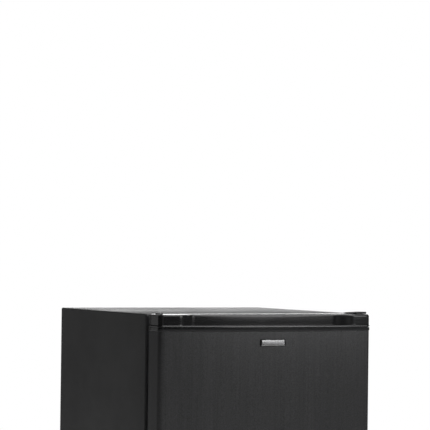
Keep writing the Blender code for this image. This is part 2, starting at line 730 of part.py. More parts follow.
def condenser_spacers():
    pieces = []
    spots = [(x, coil_height(i)) for x in (-0.120, 0.120) for i in (1, 9)]
    for number, (x, z) in enumerate(spots, 1):
        low, high = (x - 0.007, BACK, z - 0.009), (x + 0.007, REAR, z + 0.009)
        spacer = block(f"condenser_spacer_{number}", low, high, 0.003, 2, along_x)
        cut(spacer, drum(f"spacer_hole_{number}", (x, COIL_Y, z), 0.0029, 0.04, "X", 16))
        pieces.append(finish(spacer, "black_plastic"))
    return pieces


def pipes():
    shell = 0.0555 * 1.42
    suction = [
        (COMPRESSOR.x + 0.030, COMPRESSOR.y + 0.0545, 0.120),
        (COMPRESSOR.x + 0.030, BACK + 0.009, 0.120),
        (PIPE_ENTRY[0], BACK + 0.009, 0.120),
        (PIPE_ENTRY[0], BACK + 0.009, PIPE_ENTRY[1]),
        (PIPE_ENTRY[0], BACK - 0.028, PIPE_ENTRY[1]),
    ]
    discharge = [
        (COMPRESSOR.x - shell - 0.001, COMPRESSOR.y, 0.085),
        (-COIL_HALF, COMPRESSOR.y, 0.085),
        (-COIL_HALF, COIL_Y, 0.085),
        (-COIL_HALF, COIL_Y, 0.1897),
    ]
    capillary = [
        (0.200, COIL_Y, 0.0797),
        (0.200, COIL_Y, 0.060),
        (CAPILLARY_ENTRY[0], COIL_Y, 0.060),
        (CAPILLARY_ENTRY[0], BACK + 0.0055, 0.150),
        (CAPILLARY_ENTRY[0], BACK + 0.0055, CAPILLARY_ENTRY[1]),
        (CAPILLARY_ENTRY[0], BACK - 0.020, CAPILLARY_ENTRY[1]),
    ]
    drier = drum("filter_drier", (0.200, COIL_Y, 0.1247), 0.008, 0.064, sides=18)
    join(drier, drum("drier_neck", (0.200, COIL_Y, 0.1248), 0.0034, 0.0896, sides=12))
    return [
        finish(tube("suction_pipe", bent(suction, 0.008, 3), 0.0032), "copper"),
        finish(tube("discharge_pipe", bent(discharge, 0.012, 3), 0.0024), "copper"),
        finish(tube("capillary_tube", bent(capillary, 0.004, 3), 0.0010), "copper"),
        finish(drier, "copper"),
    ]


def evaporation_pan():
    low = COMPRESSOR.z + 0.122 + CLEAR
    left, near, right, far = -0.105, BACK - 0.125, 0.065, BACK - 0.020
    edge = 0.0015
    pan = block("evaporation_pan", (left, near, low), (right, far, low + 0.018), 0.004, 2, along_z)
    floor = (left + edge, near + edge, low + edge)
    hollow = block("pan_hollow", floor, (right - edge, far - edge, low + 0.03), 0.0025, 2, along_z)
    return finish(cut(pan, hollow), "black_plastic")


def drain_spout():
    low, high = BAY_TOP - 0.004, STEP_TOP - PLASTIC - CLEAR
    spout = drum("drain_spout", (*DRAIN, (low + high) / 2), 0.005, high - low, sides=16)
    drill(spout, "bore", *DRAIN, low - 0.01, high + 0.01, 0.0034)
    return finish(spout, "white_plastic")


# Door
def door_front(grow, limit=None, steps=14):
    """Points along the bowed front, left to right, moved outwards by grow."""
    radius = BOW_RADIUS + grow
    centre = APEX + BOW_RADIUS
    limit = bow_corner(grow)[2] if limit is None else limit
    xs = [limit * (2 * i / steps - 1) for i in range(steps + 1)]
    return [(x, centre - math.sqrt(radius**2 - x**2)) for x in xs]


def bow_corner(grow):
    """The corner's arc: its centre, and the x at which it meets the bowed front."""
    radius = BOW_RADIUS + grow
    inset = HALF - CORNER_RADIUS
    reach = math.sqrt((BOW_RADIUS - CORNER_RADIUS) ** 2 - inset**2)
    centre_y = APEX + BOW_RADIUS - reach
    return inset, centre_y, inset * radius / (BOW_RADIUS - CORNER_RADIUS)


def door_outline(grow, rear=DOOR_BACK):
    """The door in plan, from its rear left corner round the front to its rear right corner."""
    inset, centre_y, _ = bow_corner(grow)
    radius = CORNER_RADIUS + grow
    end = math.asin(inset / (BOW_RADIUS - CORNER_RADIUS))
    left = []
    steps = 5
    for i in range(steps):
        angle = (math.pi / 2 - end) * i / steps
        left.append((-inset - radius * math.cos(angle), centre_y - radius * math.sin(angle)))
    side = HALF + grow
    tucked = side - SIDE_TUCK * (1 - (DOOR_BACK - rear) / TUCK_RUN)
    left = [(-tucked, rear), (-side, DOOR_BACK - TUCK_RUN), *left]
    right = [(-x, y) for x, y in reversed(left)]
    return left + door_front(grow) + right


def band(outer, inner, limit):
    """A strip in plan between two copies of the bowed front."""
    return door_front(outer, limit) + list(reversed(door_front(inner, limit)))


def door_panel():
    low, high = PANEL_LOW + CLEAR, PANEL_HIGH - CLEAR
    skin = curve_object("door_panel", [(x, y, 0.0) for x, y in door_outline(0.0)])
    skin.data.extrude = (high - low) / 2
    skin.location.z = (low + high) / 2
    return finish(thicken(as_mesh(skin), SHEET, -1), "black_steel")


def soften_top(piece, height, width):
    """Rounds the front and side edges of a slab's top face."""
    shape = bmesh.new()
    shape.from_mesh(piece.data)
    bmesh.ops.dissolve_limit(shape, angle_limit=0.001, verts=shape.verts, edges=shape.edges)
    level = height - piece.location.z
    edges = []
    for edge in shape.edges:
        ends = [vertex.co for vertex in edge.verts]
        rear = all(abs(end.y - DOOR_BACK) < 1e-5 for end in ends)
        if all(abs(end.z - level) < 1e-5 for end in ends) and not rear:
            edges.append(edge)
    bmesh.ops.bevel(shape, geom=edges, offset=width, segments=2, profile=0.5, affect="EDGES")
    shape.to_mesh(piece.data)
    shape.free()


def door_top_cap():
    cap = slab("door_top_cap", door_outline(LIP), PANEL_HIGH, GRIP_LEDGE)
    upper = slab("cap_upper", door_outline(0.0), PANEL_HIGH + 0.004, CAP_TOP)
    soften_top(upper, CAP_TOP, 0.004)
    inner = -SHEET - CLEAR
    plan = door_outline(inner, DOOR_BACK - 0.0022)
    tongue = slab("cap_tongue", plan, PANEL_HIGH - 0.006, PANEL_HIGH + 0.004)
    notch = slab("grip_notch", band(0.02, -GRIP_BACK, GRIP_HALF), GRIP_LEDGE, CAP_TOP + 0.01)
    reach = GRIP_HALF - 0.003
    pocket = slab("grip_pocket", band(-GRIP_LIP, -GRIP_BACK, reach), GRIP_FLOOR, CAP_TOP + 0.009)
    slope = block("grip_slope", (-reach, -0.050, 0), (reach, 0, 0.020))
    slope.rotation_euler.x = GRIP_SLOPE
    lift = Matrix.Rotation(GRIP_SLOPE, 3, "X") @ Vector((0, -0.025, 0.010))
    slope.location = Vector((0, GRIP_SLOPE_BACK, CAP_TOP)) + lift
    join(cap, upper, tongue)
    cut(cap, notch, pocket, slope)
    bore = BUSH_RADIUS + CLEAR
    for side in (-1, 1):
        drill(cap, f"bore_{side}", side * HINGE[0], HINGE[1], CAP_TOP - 0.020, CAP_TOP + 0.01, bore)
    return finish(cap, "black_plastic")


def door_bottom_cap():
    cap = slab("door_bottom_cap", door_outline(LIP), DOOR_LOW, PANEL_LOW)
    inner = door_outline(-SHEET - CLEAR, DOOR_BACK - 0.0022)
    tongue = slab("bottom_tongue", inner, PANEL_LOW - 0.004, PANEL_LOW + 0.006)
    join(cap, tongue)
    bore = BUSH_RADIUS + CLEAR
    for side in (-1, 1):
        drill(cap, f"bore_{side}", side * HINGE[0], HINGE[1], DOOR_LOW - 0.01, DOOR_LOW + 0.0205, bore)
    return finish(cap, "black_plastic")


def door_foam():
    low, high = PANEL_LOW + 0.006 + CLEAR, PANEL_HIGH - 0.006 - CLEAR
    foam = slab("door_foam", door_outline(-SHEET - CLEAR, DOOR_BACK - PLASTIC - CLEAR), low, high)
    return finish(foam, "foam")


def door_liner():
    low, high = PANEL_LOW + CLEAR, PANEL_HIGH - CLEAR
    edge = HALF - SHEET - SIDE_TUCK - CLEAR
    plate = block("door_liner", (-edge, DOOR_BACK - PLASTIC, low), (edge, DOOR_BACK, high))
    ridge_low = (-0.166, DOOR_BACK - 0.0008, 0.075)
    ridge = block("liner_ridge", ridge_low, (0.166, RIDGE_BACK, 0.340), 0.010, 3, along_y)
    well_far = (0.150, RIDGE_BACK + 0.01, 0.325)
    well = block("ridge_well", (-0.150, DOOR_BACK, 0.090), well_far, 0.006, 2, along_y)
    cut(ridge, well)
    join(plate, ridge)
    for name, bottom in RACK_LOWS.items():
        for side in (-1, 1):
            xs = sorted((side * 0.1455, side * 0.1508))
            high = (xs[1], FRONT + 0.012, bottom + 0.030)
            join(plate, block(f"{name}_lug_{side}", (xs[0], FRONT, bottom + 0.010), high))
    return finish(plate, "white_plastic")


def door_gasket():
    half = HINGE[0] - 0.0010
    low, high = BASE + 0.0185, TOP - 0.0185
    far = (half, FRONT - CLEAR, high)
    ring = block("door_gasket", (-half, DOOR_BACK + CLEAR, low), far, 0.004, 2, along_y)
    edge = 0.016
    hole = block(
        "gasket_hole",
        (-half + edge, DOOR_BACK - 0.01, low + edge),
        (half - edge, FRONT + 0.01, high - edge),
    )
    return finish(cut(ring, hole), "gasket_rubber")


def badge_plate():
    high = PANEL_HIGH - 0.0140
    low = high - 0.0136
    half = 0.0265
    near = (-half, APEX - BADGE_PROUD, low)
    plate = block("badge_plate", near, (half, APEX - CLEAR, high), 0.0015, 2, along_y)
    return finish(plate, "black_plastic")


def hinge_hole_plug():
    x, y = -HINGE[0], HINGE[1]
    dome = drum("hinge_hole_plug", (x, y, CAP_TOP + CLEAR + 0.0012), 0.0072, 0.0024, tip=0.0058)
    join(dome, drum("plug_stem", (x, y, CAP_TOP - 0.0065), BUSH_RADIUS, 0.015))
    return finish(dome, "black_plastic")


def hinge_bushes():
    x, y = HINGE
    upper = drum("upper_hinge_bush", (x, y, CAP_TOP - 0.010), BUSH_RADIUS, 0.0195)
    drill(upper, "bore", x, y, CAP_TOP - 0.04, CAP_TOP + 0.01, PIN_RADIUS + CLEAR)
    lower = drum("lower_hinge_bush", (x, y, DOOR_LOW + 0.009), BUSH_RADIUS, 0.020)
    join(lower, drum("bush_flange", (x, y, DOOR_LOW - 0.0015), 0.009, 0.0023))
    drill(lower, "bore", x, y, DOOR_LOW - 0.02, DOOR_LOW + 0.04, PIN_RADIUS + CLEAR)
    return [finish(upper, "white_plastic"), finish(lower, "white_plastic")]


def door_rack(name, low):
    high = low + RACK_HEIGHT
    near, far = DOOR_BACK + 0.001, FRONT + 0.075
    edge = 0.002
    rack = block(name, (-RACK_HALF, near, low), (RACK_HALF, far, high), RACK_CORNER, 2, along_z)
    inside = ((-RACK_HALF + edge, near + edge, low + edge), (RACK_HALF - edge, far - edge, high + 0.01))
    cut(rack, block(f"{name}_hollow", *inside))
    for side in (-1, 1):
        xs = sorted((side * 0.1451, side * 0.1600))
        top = (xs[1], FRONT + 0.012 + CLEAR, low + 0.030 + CLEAR)
        cut(rack, block(f"{name}_slot_{side}", (xs[0], FRONT - CLEAR, low - 0.01), top))
    ride(f"{name}_axis", (0, near, low), [rack])
    return finish(rack, "clear_plastic")


def door():
    pieces = [door_panel(), door_top_cap(), door_bottom_cap(), door_foam(), door_liner(), door_gasket()]
    pieces += [badge_plate(), hinge_hole_plug(), *hinge_bushes()]
    ride("door_axis", (*HINGE, 0), pieces)
    axis = bpy.data.objects["door_axis"]
    for name, low in RACK_LOWS.items():
        door_rack(name, low)
        rack_axis = bpy.data.objects[f"{name}_axis"]
        rack_axis.parent = axis
        rack_axis.matrix_parent_inverse = Matrix.Translation(-axis.location)


def main():
    start_scene()
    cabinet_wrapper()
    bottom_pan()
    back_panel()
    cabinet_foam()
    cabinet_liner()
    top_hinge()
    hinge_cover()
    bottom_hinge()
    for label, side in (("left", -1), ("right", 1)):
        rear_foot(label, side)
        levelling_foot(label, side)
    evaporator_box()
    icebox_frame()
    icebox_flap()
    drip_tray()
    wire_shelf()
    thermostat()
    compressor_tray()
    cord_gland()
    compressor()
    compressor_mounts()
    terminal_cover()
    condenser_coil()
    condenser_spacers()
    pipes()
    evaporation_pan()
    drain_spout()
    door()


main()
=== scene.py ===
import math

import bmesh
import bpy
from mathutils import Matrix, Vector


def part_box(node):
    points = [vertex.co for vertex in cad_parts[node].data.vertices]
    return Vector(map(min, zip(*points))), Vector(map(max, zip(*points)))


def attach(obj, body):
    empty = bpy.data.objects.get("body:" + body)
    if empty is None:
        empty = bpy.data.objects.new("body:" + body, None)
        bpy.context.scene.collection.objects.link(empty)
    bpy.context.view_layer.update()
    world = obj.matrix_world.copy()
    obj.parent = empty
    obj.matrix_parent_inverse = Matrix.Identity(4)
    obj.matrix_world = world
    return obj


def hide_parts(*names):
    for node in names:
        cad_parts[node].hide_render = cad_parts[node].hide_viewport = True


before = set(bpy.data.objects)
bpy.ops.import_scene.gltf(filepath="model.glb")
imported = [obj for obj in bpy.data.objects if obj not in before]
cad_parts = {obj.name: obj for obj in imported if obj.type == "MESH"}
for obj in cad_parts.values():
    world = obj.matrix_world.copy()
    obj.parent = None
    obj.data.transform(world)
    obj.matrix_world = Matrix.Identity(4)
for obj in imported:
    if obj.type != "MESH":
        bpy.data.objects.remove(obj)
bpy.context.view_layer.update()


def box_of(node):
    """The CAD node's lowest and highest corners."""
    return tuple(Vector(corner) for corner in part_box(node))


def middle(node):
    low, high = box_of(node)
    return (low + high) / 2


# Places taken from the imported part, in metres
CABINET_LOW, CABINET_HIGH = box_of("cabinet_wrapper")
PANEL_BOX_LOW, PANEL_BOX_HIGH = box_of("door_panel")
HALF = CABINET_HIGH.x
FRONT, BACK = CABINET_LOW.y, CABINET_HIGH.y
BASE, TOP = CABINET_LOW.z, CABINET_HIGH.z
DOOR_BACK = PANEL_BOX_HIGH.y
APEX = PANEL_BOX_LOW.y
CAP_TOP = box_of("door_top_cap")[1].z
CLEAR = 0.0003
SHEET = 0.0008
PLASTIC = 0.0015
FLANGE = 0.036
WALL = 0.045
DOOR_BOW = 0.022
BOW_RADIUS = (HALF**2 + DOOR_BOW**2) / (2 * DOOR_BOW)
CORNER_RADIUS = 0.012
SIDE_TUCK, TUCK_RUN = 0.0012, 0.015
LIP = 0.0012
PANEL_HIGH = PANEL_BOX_HIGH.z + CLEAR
PANEL_LOW = PANEL_BOX_LOW.z - CLEAR
INSIDE = HALF - WALL
CEILING = TOP - WALL
FLOOR = BASE + WALL
INSIDE_BACK = BACK - WALL
STEP_FRONT = BACK - 0.185
STEP_TOP = 0.220
GRIP_HALF, GRIP_END = 0.150, 0.188
GRIP_BACK, GRIP_LIP = 0.028, 0.005
LEDGE = CAP_TOP - 0.020
POCKET = CAP_TOP - 0.034
SLOPE_BACK = APEX + 0.0475
FALL = math.tan(math.radians(10))
COIL_Y = BACK + 0.020
COIL_LOW, COIL_PITCH, COIL_PASSES, COIL_HALF = 0.212, 0.026, 11, 0.175
DRIER_X = 0.200
PIPE_ENTRY = (0.090, 0.300)
CAPILLARY_ENTRY = (0.135, 0.300)
SHELL_RADIUS, SHELL_STRETCH = 0.0555, 1.42


# ---------------------------------------------------------------- materials
class Look:
    """A material under construction: a Principled shader and the nodes that feed it."""

    def __init__(self, name, **uniform):
        self.material = bpy.data.materials.new(name)
        self.material.use_nodes = True
        self.tree = self.material.node_tree
        self.tree.nodes.clear()
        self.shader = self.node("BsdfPrincipled", **uniform)
        self.node("OutputMaterial", Surface=self.shader.outputs["BSDF"])
        self.place = self.node("TexCoord").outputs["Object"]
        self.bumps = None

    def put(self, target, value):
        if isinstance(value, bpy.types.NodeSocket):
            self.tree.links.new(value, target)
        else:
            target.default_value = value

    def node(self, kind, **inputs):
        made = self.tree.nodes.new("ShaderNode" + kind)
        for socket, value in inputs.items():
            self.put(made.inputs[socket.replace("_", " ")], value)
        return made

    def stretched(self, *scale):
        return self.node("Mapping", Vector=self.place, Scale=scale).outputs["Vector"]

    def noise(self, scale, detail=2.0, rough=0.5, vector=None, distortion=0.0):
        kind = {"Scale": scale, "Detail": detail, "Roughness": rough, "Distortion": distortion}
        return self.node("TexNoise", Vector=vector or self.place, **kind).outputs["Fac"]

    def strokes(self, *scale, rough=0.6, detail=3.0):
        """Noise drawn out along an axis, as brushing or rolling leaves it."""
        return self.noise(1.0, detail, rough, self.stretched(*scale))

    def cells(self, scale, output="Distance"):
        return self.node("TexVoronoi", Vector=self.place, Scale=scale).outputs[output]

    def spread(self, value, low, high, first, last):
        """The value's range low to high mapped to first to last."""
        ends = {"From_Min": low, "From_Max": high, "To_Min": first, "To_Max": last}
        return self.node("MapRange", Value=value, **ends).outputs["Result"]

    def maths(self, operation, first, second):
        node = self.node("Math")
        node.operation = operation
        self.put(node.inputs[0], first)
        self.put(node.inputs[1], second)
        return node.outputs["Value"]

    def shares(self, *pairs):
        """The sum of values, each times its share."""
        parts = [self.maths("MULTIPLY", value, share) for value, share in pairs]
        total = parts[0]
        for part in parts[1:]:
            total = self.maths("ADD", total, part)
        return total

    def blend(self, factor, first, second):
        node = self.node("Mix")
        node.data_type = "RGBA"
        self.put(node.inputs["Factor"], factor)
        colours = [socket for socket in node.inputs if socket.type == "RGBA"]
        for socket, colour in zip(colours, (first, second)):
            whole = isinstance(colour, bpy.types.NodeSocket)
            self.put(socket, colour if whole else (*colour, 1.0))
        return next(socket for socket in node.outputs if socket.type == "RGBA")

    def tint(self, value, low, high, dark, light):
        """Base colour from dark to light over the value's range low to high."""
        factor = self.spread(value, low, high, 0.0, 1.0)
        self.put(self.shader.inputs["Base Color"], self.blend(factor, dark, light))

    def gloss(self, value, low, high, first, last):
        self.put(self.shader.inputs["Roughness"], self.spread(value, low, high, first, last))

    def bump(self, height, depth, strength):
        node = self.node("Bump", Height=height, Distance=depth, Strength=strength)
        if self.bumps:
            self.put(node.inputs["Normal"], self.bumps)
        self.bumps = node.outputs["Normal"]
        self.put(self.shader.inputs["Normal"], self.bumps)


def painted_steel(name, dark, light, rough, coat=0.0):
    """Baked enamel on sheet steel: a fine orange peel, with faint clouding."""
    look = Look(name, Coat_Weight=coat, Coat_Roughness=0.25)
    grain = look.noise(1900.0, 2.0, 0.6)
    look.tint(look.shares((look.noise(6.0, 3.0, 0.6), 0.6), (grain, 0.4)), 0.3, 0.7, dark, light)
    look.gloss(look.noise(11.0, 4.0, 0.6), 0.3, 0.7, rough - 0.04, rough + 0.05)
    look.bump(look.noise(620.0, 2.0, 0.5), 0.00012, 0.55)
    look.bump(grain, 0.00004, 0.5)
    return look.material


def brushed_steel():
    """Dark coated steel, brushed up and down: fine speckle, scratches and faint broad bands."""
    look = Look("brushed_black_steel", Metallic=1.0, Anisotropic=0.55)
    tangent = look.node("Tangent")
    tangent.direction_type = "RADIAL"
    tangent.axis = "Z"
    look.put(look.shader.inputs["Tangent"], tangent.outputs["Tangent"])
    fine = look.strokes(1500.0, 1500.0, 14.0, rough=0.65)
    streaks = look.strokes(330.0, 330.0, 4.0)
    bands = look.strokes(46.0, 46.0, 1.2, rough=0.5, detail=2.0)
    brushing = look.shares((fine, 0.45), (streaks, 0.35), (bands, 0.2))
    tone = look.shares((brushing, 0.45), (look.noise(520.0, 2.0, 0.7), 0.55))
    look.tint(tone, 0.36, 0.64, (0.074, 0.074, 0.076), (0.120, 0.120, 0.122))
    look.gloss(brushing, 0.35, 0.65, 0.40, 0.46)
    look.bump(fine, 0.00002, 0.25)
    return look.material


def moulded_plastic(name, dark, light, rough, grain=1400.0, **uniform):
    """Injection-moulded plastic: a fine eroded skin and slight shading from flow."""
    look = Look(name, **uniform)
    skin = look.noise(grain, 2.0, 0.6)
    flow = look.noise(9.0, 3.0, 0.55, distortion=0.6)
    look.tint(flow, 0.3, 0.7, dark, light)
    look.gloss(look.shares((flow, 0.5), (skin, 0.5)), 0.3, 0.7, rough - 0.05, rough + 0.05)
    look.bump(skin, 0.00003, 0.5)
    return look.material


def clear_plastic(name, tint, rough):
    look = Look(name, Transmission_Weight=0.86, IOR=1.46)
    wear = look.noise(38.0, 4.0, 0.65)
    scuffs = look.strokes(900.0, 60.0, 900.0, detail=2.0)
    look.tint(wear, 0.3, 0.7, tint, [min(1.0, c * 1.05) for c in tint])
    look.gloss(look.maths("MULTIPLY", wear, scuffs), 0.1, 0.4, rough - 0.04, rough + 0.09)
    look.bump(wear, 0.00008, 0.2)
    return look.material


def galvanised(name, dark, light, rough):
    """Zinc-coated steel: large crystals of slightly different brightness, and rolling marks."""
    look = Look(name, Metallic=1.0)
    tone = look.node("SeparateColor", Color=look.cells(120.0, "Color"))
    rolled = look.strokes(40.0, 500.0, 500.0)
    look.tint(look.shares((tone.outputs["Red"], 0.6), (rolled, 0.4)), 0.1, 0.9, dark, light)
    look.gloss(tone.outputs["Green"], 0.0, 1.0, rough - 0.08, rough + 0.10)
    look.bump(look.cells(120.0), 0.00005, 0.25)
    return look.material


def rolled_aluminium():
    look = Look("rolled_aluminium", Metallic=1.0)
    rolled = look.strokes(700.0, 26.0, 700.0)
    haze = look.noise(22.0, 4.0, 0.65)
    look.tint(haze, 0.3, 0.7, (0.66, 0.67, 0.69), (0.80, 0.81, 0.82))
    look.gloss(look.maths("ADD", rolled, haze), 0.7, 1.3, 0.30, 0.50)
    look.bump(rolled, 0.00003, 0.3)
    return look.material


def drawn_copper():
    """Copper pipe, bright with browned stains."""
    look = Look("drawn_copper", Metallic=1.0)
    stain = look.noise(34.0, 4.0, 0.65, distortion=0.8)
    fine = look.noise(420.0, 3.0, 0.6)
    shine = look.spread(fine, 0.3, 0.7, 0.0, 1.0)
    bright = look.blend(shine, (0.66, 0.33, 0.20), (0.78, 0.43, 0.28))
    browned = look.blend(look.spread(stain, 0.48, 0.72, 0.0, 0.8), bright, (0.24, 0.12, 0.08))
    look.put(look.shader.inputs["Base Color"], browned)
    look.gloss(stain, 0.3, 0.7, 0.26, 0.48)
    look.bump(fine, 0.00003, 0.3)
    return look.material


def rubber(name, dark, light, rough):
    look = Look(name, Specular_IOR_Level=0.35)
    dust = look.noise(70.0, 5.0, 0.7)
    look.tint(dust, 0.35, 0.75, dark, light)
    look.gloss(dust, 0.3, 0.7, rough - 0.06, rough + 0.08)
    look.bump(look.noise(1500.0, 2.0, 0.6), 0.00005, 0.5)
    return look.material


def foamed():
    look = Look("poured_foam", Specular_IOR_Level=0.2)
    # One Voronoi distance both dents the pores and darkens the colour towards each pore's middle.
    # The darkening is painted shade in the pores.
    pore_dents_and_shade = look.cells(650.0)
    look.tint(pore_dents_and_shade, 0.0, 0.6, (0.58, 0.47, 0.26), (0.84, 0.76, 0.54))
    look.gloss(pore_dents_and_shade, 0.0, 0.6, 0.95, 0.80)
    look.bump(pore_dents_and_shade, 0.0004, 0.7)
    return look.material


def satin_metal(name, dark, light):
    look = Look(name, Metallic=1.0)
    lines = look.strokes(900.0, 900.0, 40.0)
    look.tint(lines, 0.3, 0.7, dark, light)
    look.gloss(lines, 0.3, 0.7, 0.30, 0.40)
    look.bump(lines, 0.00001, 0.2)
    return look.material


LOOKS = {
    "charcoal_paint": painted_steel(
        "charcoal_enamel", (0.015, 0.0152, 0.016), (0.021, 0.0213, 0.022), 0.40
    ),
    "black_steel": brushed_steel(),
    "black_plastic": moulded_plastic(
        "black_moulding", (0.007, 0.007, 0.0075), (0.010, 0.010, 0.0105), 0.22
    ),
    "white_plastic": moulded_plastic(
        "white_moulding", (0.74, 0.75, 0.76), (0.80, 0.81, 0.82), 0.36, 900.0, Subsurface_Weight=0.08
    ),
    "clear_plastic": clear_plastic("clear_moulding", (0.84, 0.90, 0.94), 0.16),
    # The seal's colour is set darker than the other black rubber so the door gap reads dark. It is
    # black vinyl plus painted shade in the gap between door and cabinet.
    "gasket_rubber": rubber("gasket_vinyl_and_gap_shade", (0.008, 0.008, 0.0085), (0.014, 0.014, 0.0145), 0.60),
    "matt_black": moulded_plastic(
        "matt_black_moulding",
        (0.008, 0.008, 0.0085),
        (0.012, 0.012, 0.0125),
        0.5,
        Specular_IOR_Level=0.25,
    ),
    "black_rubber": rubber("black_rubber", (0.014, 0.014, 0.014), (0.034, 0.033, 0.032), 0.74),
    "foam": foamed(),
    "zinc": galvanised("galvanised_steel", (0.44, 0.45, 0.47), (0.64, 0.65, 0.67), 0.40),
    "aluminium": rolled_aluminium(),
    "copper": drawn_copper(),
    "black_enamel": painted_steel(
        "black_enamel", (0.010, 0.010, 0.011), (0.017, 0.017, 0.018), 0.26, 0.3
    ),
    "white_enamel": painted_steel(
        "white_enamel", (0.76, 0.76, 0.76), (0.84, 0.84, 0.84), 0.30, 0.3
    ),
    "chrome": satin_metal("satin_chrome", (0.74, 0.75, 0.76), (0.92, 0.93, 0.94)),
    "dark_satin": satin_metal("dark_satin", (0.28, 0.28, 0.285), (0.34, 0.34, 0.345)),
    "black_print": moulded_plastic("black_print", (0.020, 0.020, 0.022), (0.035, 0.035, 0.037), 0.5),
}


# ---------------------------------------------------------------- shapes
def at(first, second, *points):
    """Points given in millimetres from (first, second), as metres."""
    return [(first + a / 1000, second + b / 1000) for a, b in points]


def quarter(steps):
    """Along a quarter circle: how far it has left its first side, and how far to its second."""
    angles = [math.pi / 2 * i / steps for i in range(steps + 1)]
    return [(1 - math.cos(angle), 1 - math.sin(angle)) for angle in angles]


def lofted(shape, rows, wrap=False, loop=False, ends=False):
    """Faces between rows of points. wrap closes each row, loop the rows, ends fills both."""
    made = [[shape.verts.new(point) for point in row] for row in rows]
    count = len(rows[0])
    for i in range(len(made) if loop else len(made) - 1):
        first, second = made[i], made[(i + 1) % len(made)]
        for j in range(count if wrap else count - 1):
            k = (j + 1) % count
            shape.faces.new((first[j], first[k], second[k], second[j]))
    if ends:
        shape.faces.new(made[0])
        shape.faces.new(reversed(made[-1]))
    return made


def joined(shape, first, second):
    """Faces between two rows of vertices."""
    for i in range(len(first) - 1):
        shape.faces.new((first[i], first[i + 1], second[i + 1], second[i]))


def rounded(points, radius, steps=6, closed=False):
    """A polyline with its corners turned into arcs, as far as its stretches allow."""
    points = [Vector(point) for point in points]
    count = len(points)
    path = []
    for i, corner in enumerate(points):
        if not closed and i in (0, count - 1):
            path.append(corner)
            continue
        before, after = points[i - 1] - corner, points[(i + 1) % count] - corner
        room = 0.48 * min(before.length, after.length)
        before.normalize()
        after.normalize()
        angle = before.angle(after)
        if angle > math.radians(178):
            path.append(corner)
            continue
        reach = min(radius / math.tan(angle / 2), room)
        bend = reach * math.tan(angle / 2)
        centre = corner + (before + after).normalized() * bend / math.sin(angle / 2)
        start, end = corner + before * reach - centre, corner + after * reach - centre
        turn = start.angle(end)
        for step in range(steps + 1):
            near, far = (1 - step / steps) * turn, step / steps * turn
            path.append(centre + (start * math.sin(near) + end * math.sin(far)) / math.sin(turn))
    return path


AXES = {
    "Z": lambda a, b, c: Vector((a, b, c)),
    "Y": lambda a, b, c: Vector((a, c, b)),
    "X": lambda a, b, c: Vector((c, a, b)),
}


def turned(shape, profile, centre, axis="Z", sides=40, stretch=1.0, flutes=None):
    """A (radius, height) profile turned about an axis through the centre."""
    rows = []
    for radius, height in profile:
        row = []
        for i in range(sides):
            angle = 2 * math.pi * i / sides
            reach = radius if flutes is None else flutes(radius, height, angle)
            a, b = reach * math.cos(angle) * stretch, reach * math.sin(angle)
            row.append(Vector(centre) + AXES[axis](a, b, height))
        rows.append(row)
    made = lofted(shape, rows, wrap=True)
    bmesh.ops.remove_doubles(shape, verts=[v for row in made for v in row], dist=1e-7)


def rod(shape, radius, low, high, centre, axis="Z", sides=24):
    turned(shape, [(0.0, low), (radius, low), (radius, high), (0.0, high)], centre, axis, sides)


def outline(low, high, radius, steps=6):
    """A rounded rectangle as (a, b) points."""
    points = []
    radius = min(radius, (high[0] - low[0]) / 2 - 1e-6, (high[1] - low[1]) / 2 - 1e-6)
    radius = max(radius, 1e-5)
    corners = ((high[0], high[1], -1, -1, 0), (low[0], high[1], 1, -1, 90))
    corners += ((low[0], low[1], 1, 1, 180), (high[0], low[1], -1, 1, 270))
    for x, y, to_x, to_y, start in corners:
        for i in range(steps + 1):
            angle = math.radians(start + 90 * i / steps)
            a, b = to_x + math.cos(angle), to_y + math.sin(angle)
            points.append((x + radius * a, y + radius * b))
    return points


def ringed(shape, low, high, rings, radius, axis="Z", steps=6, ends=True):
    """A loft through rounded rectangles: each ring is (inset from the outer edges, level)."""
    rows = []
    for inset, level in rings:
        near = (low[0] + inset, low[1] + inset)
        far = (high[0] - inset, high[1] - inset)
        shrunk = outline(near, far, max(radius - inset, 0.0006), steps)
        rows.append([AXES[axis](a, b, level) for a, b in shrunk])
    return lofted(shape, rows, wrap=True, ends=ends)


def soft_box(shape, low, high, corner, edge, axis="Z", steps=5):
    """A box with rounded corners about the axis and rounded edges at both its ends."""
    a, b, c = {"Z": (0, 1, 2), "Y": (0, 2, 1), "X": (1, 2, 0)}[axis]
    rings = [(edge * fall, low[c] + edge * rise) for rise, fall in quarter(4)]
    rings += [(inset, high[c] + low[c] - level) for inset, level in reversed(rings)]
    ringed(shape, (low[a], low[b]), (high[a], high[b]), rings, corner, axis, steps)


def swept(shape, points, radius, sides=12, closed=False):
    """A round bar along points."""
    points = [Vector(point) for point in points]
    count = len(points)
    tangents = []
    for i in range(count):
        ahead = points[(i + 1) % count] if closed or i < count - 1 else points[i]
        behind = points[i - 1] if closed or i > 0 else points[i]
        tangents.append((ahead - behind).normalized())
    side = tangents[0].orthogonal().normalized()
    rows = []
    for point, tangent in zip(points, tangents):
        side = (side - tangent * side.dot(tangent)).normalized()
        other = tangent.cross(side)
        ring = []
        for i in range(sides):
            angle = 2 * math.pi * i / sides
            ring.append(point + (side * math.cos(angle) + other * math.sin(angle)) * radius)
        rows.append(ring)
    lofted(shape, rows, wrap=True, loop=closed, ends=not closed)


def held(name, data):
    """An object in the scene."""
    made = bpy.data.objects.new(name, data)
    bpy.context.scene.collection.objects.link(made)
    return made


def mesh_of(name, shape):
    mesh = bpy.data.meshes.new(name)
    shape.to_mesh(mesh)
    shape.free()
    return mesh


def final_mesh(holder):
    bpy.context.view_layer.update()
    graph = bpy.context.evaluated_depsgraph_get()
    return bpy.data.meshes.new_from_object(holder.evaluated_get(graph))


def baked(holder):
    """The object's final mesh as a new shape. The object goes."""
    shape = bmesh.new()
    shape.from_mesh(final_mesh(holder))
    bpy.data.objects.remove(holder, do_unlink=True)
    return shape


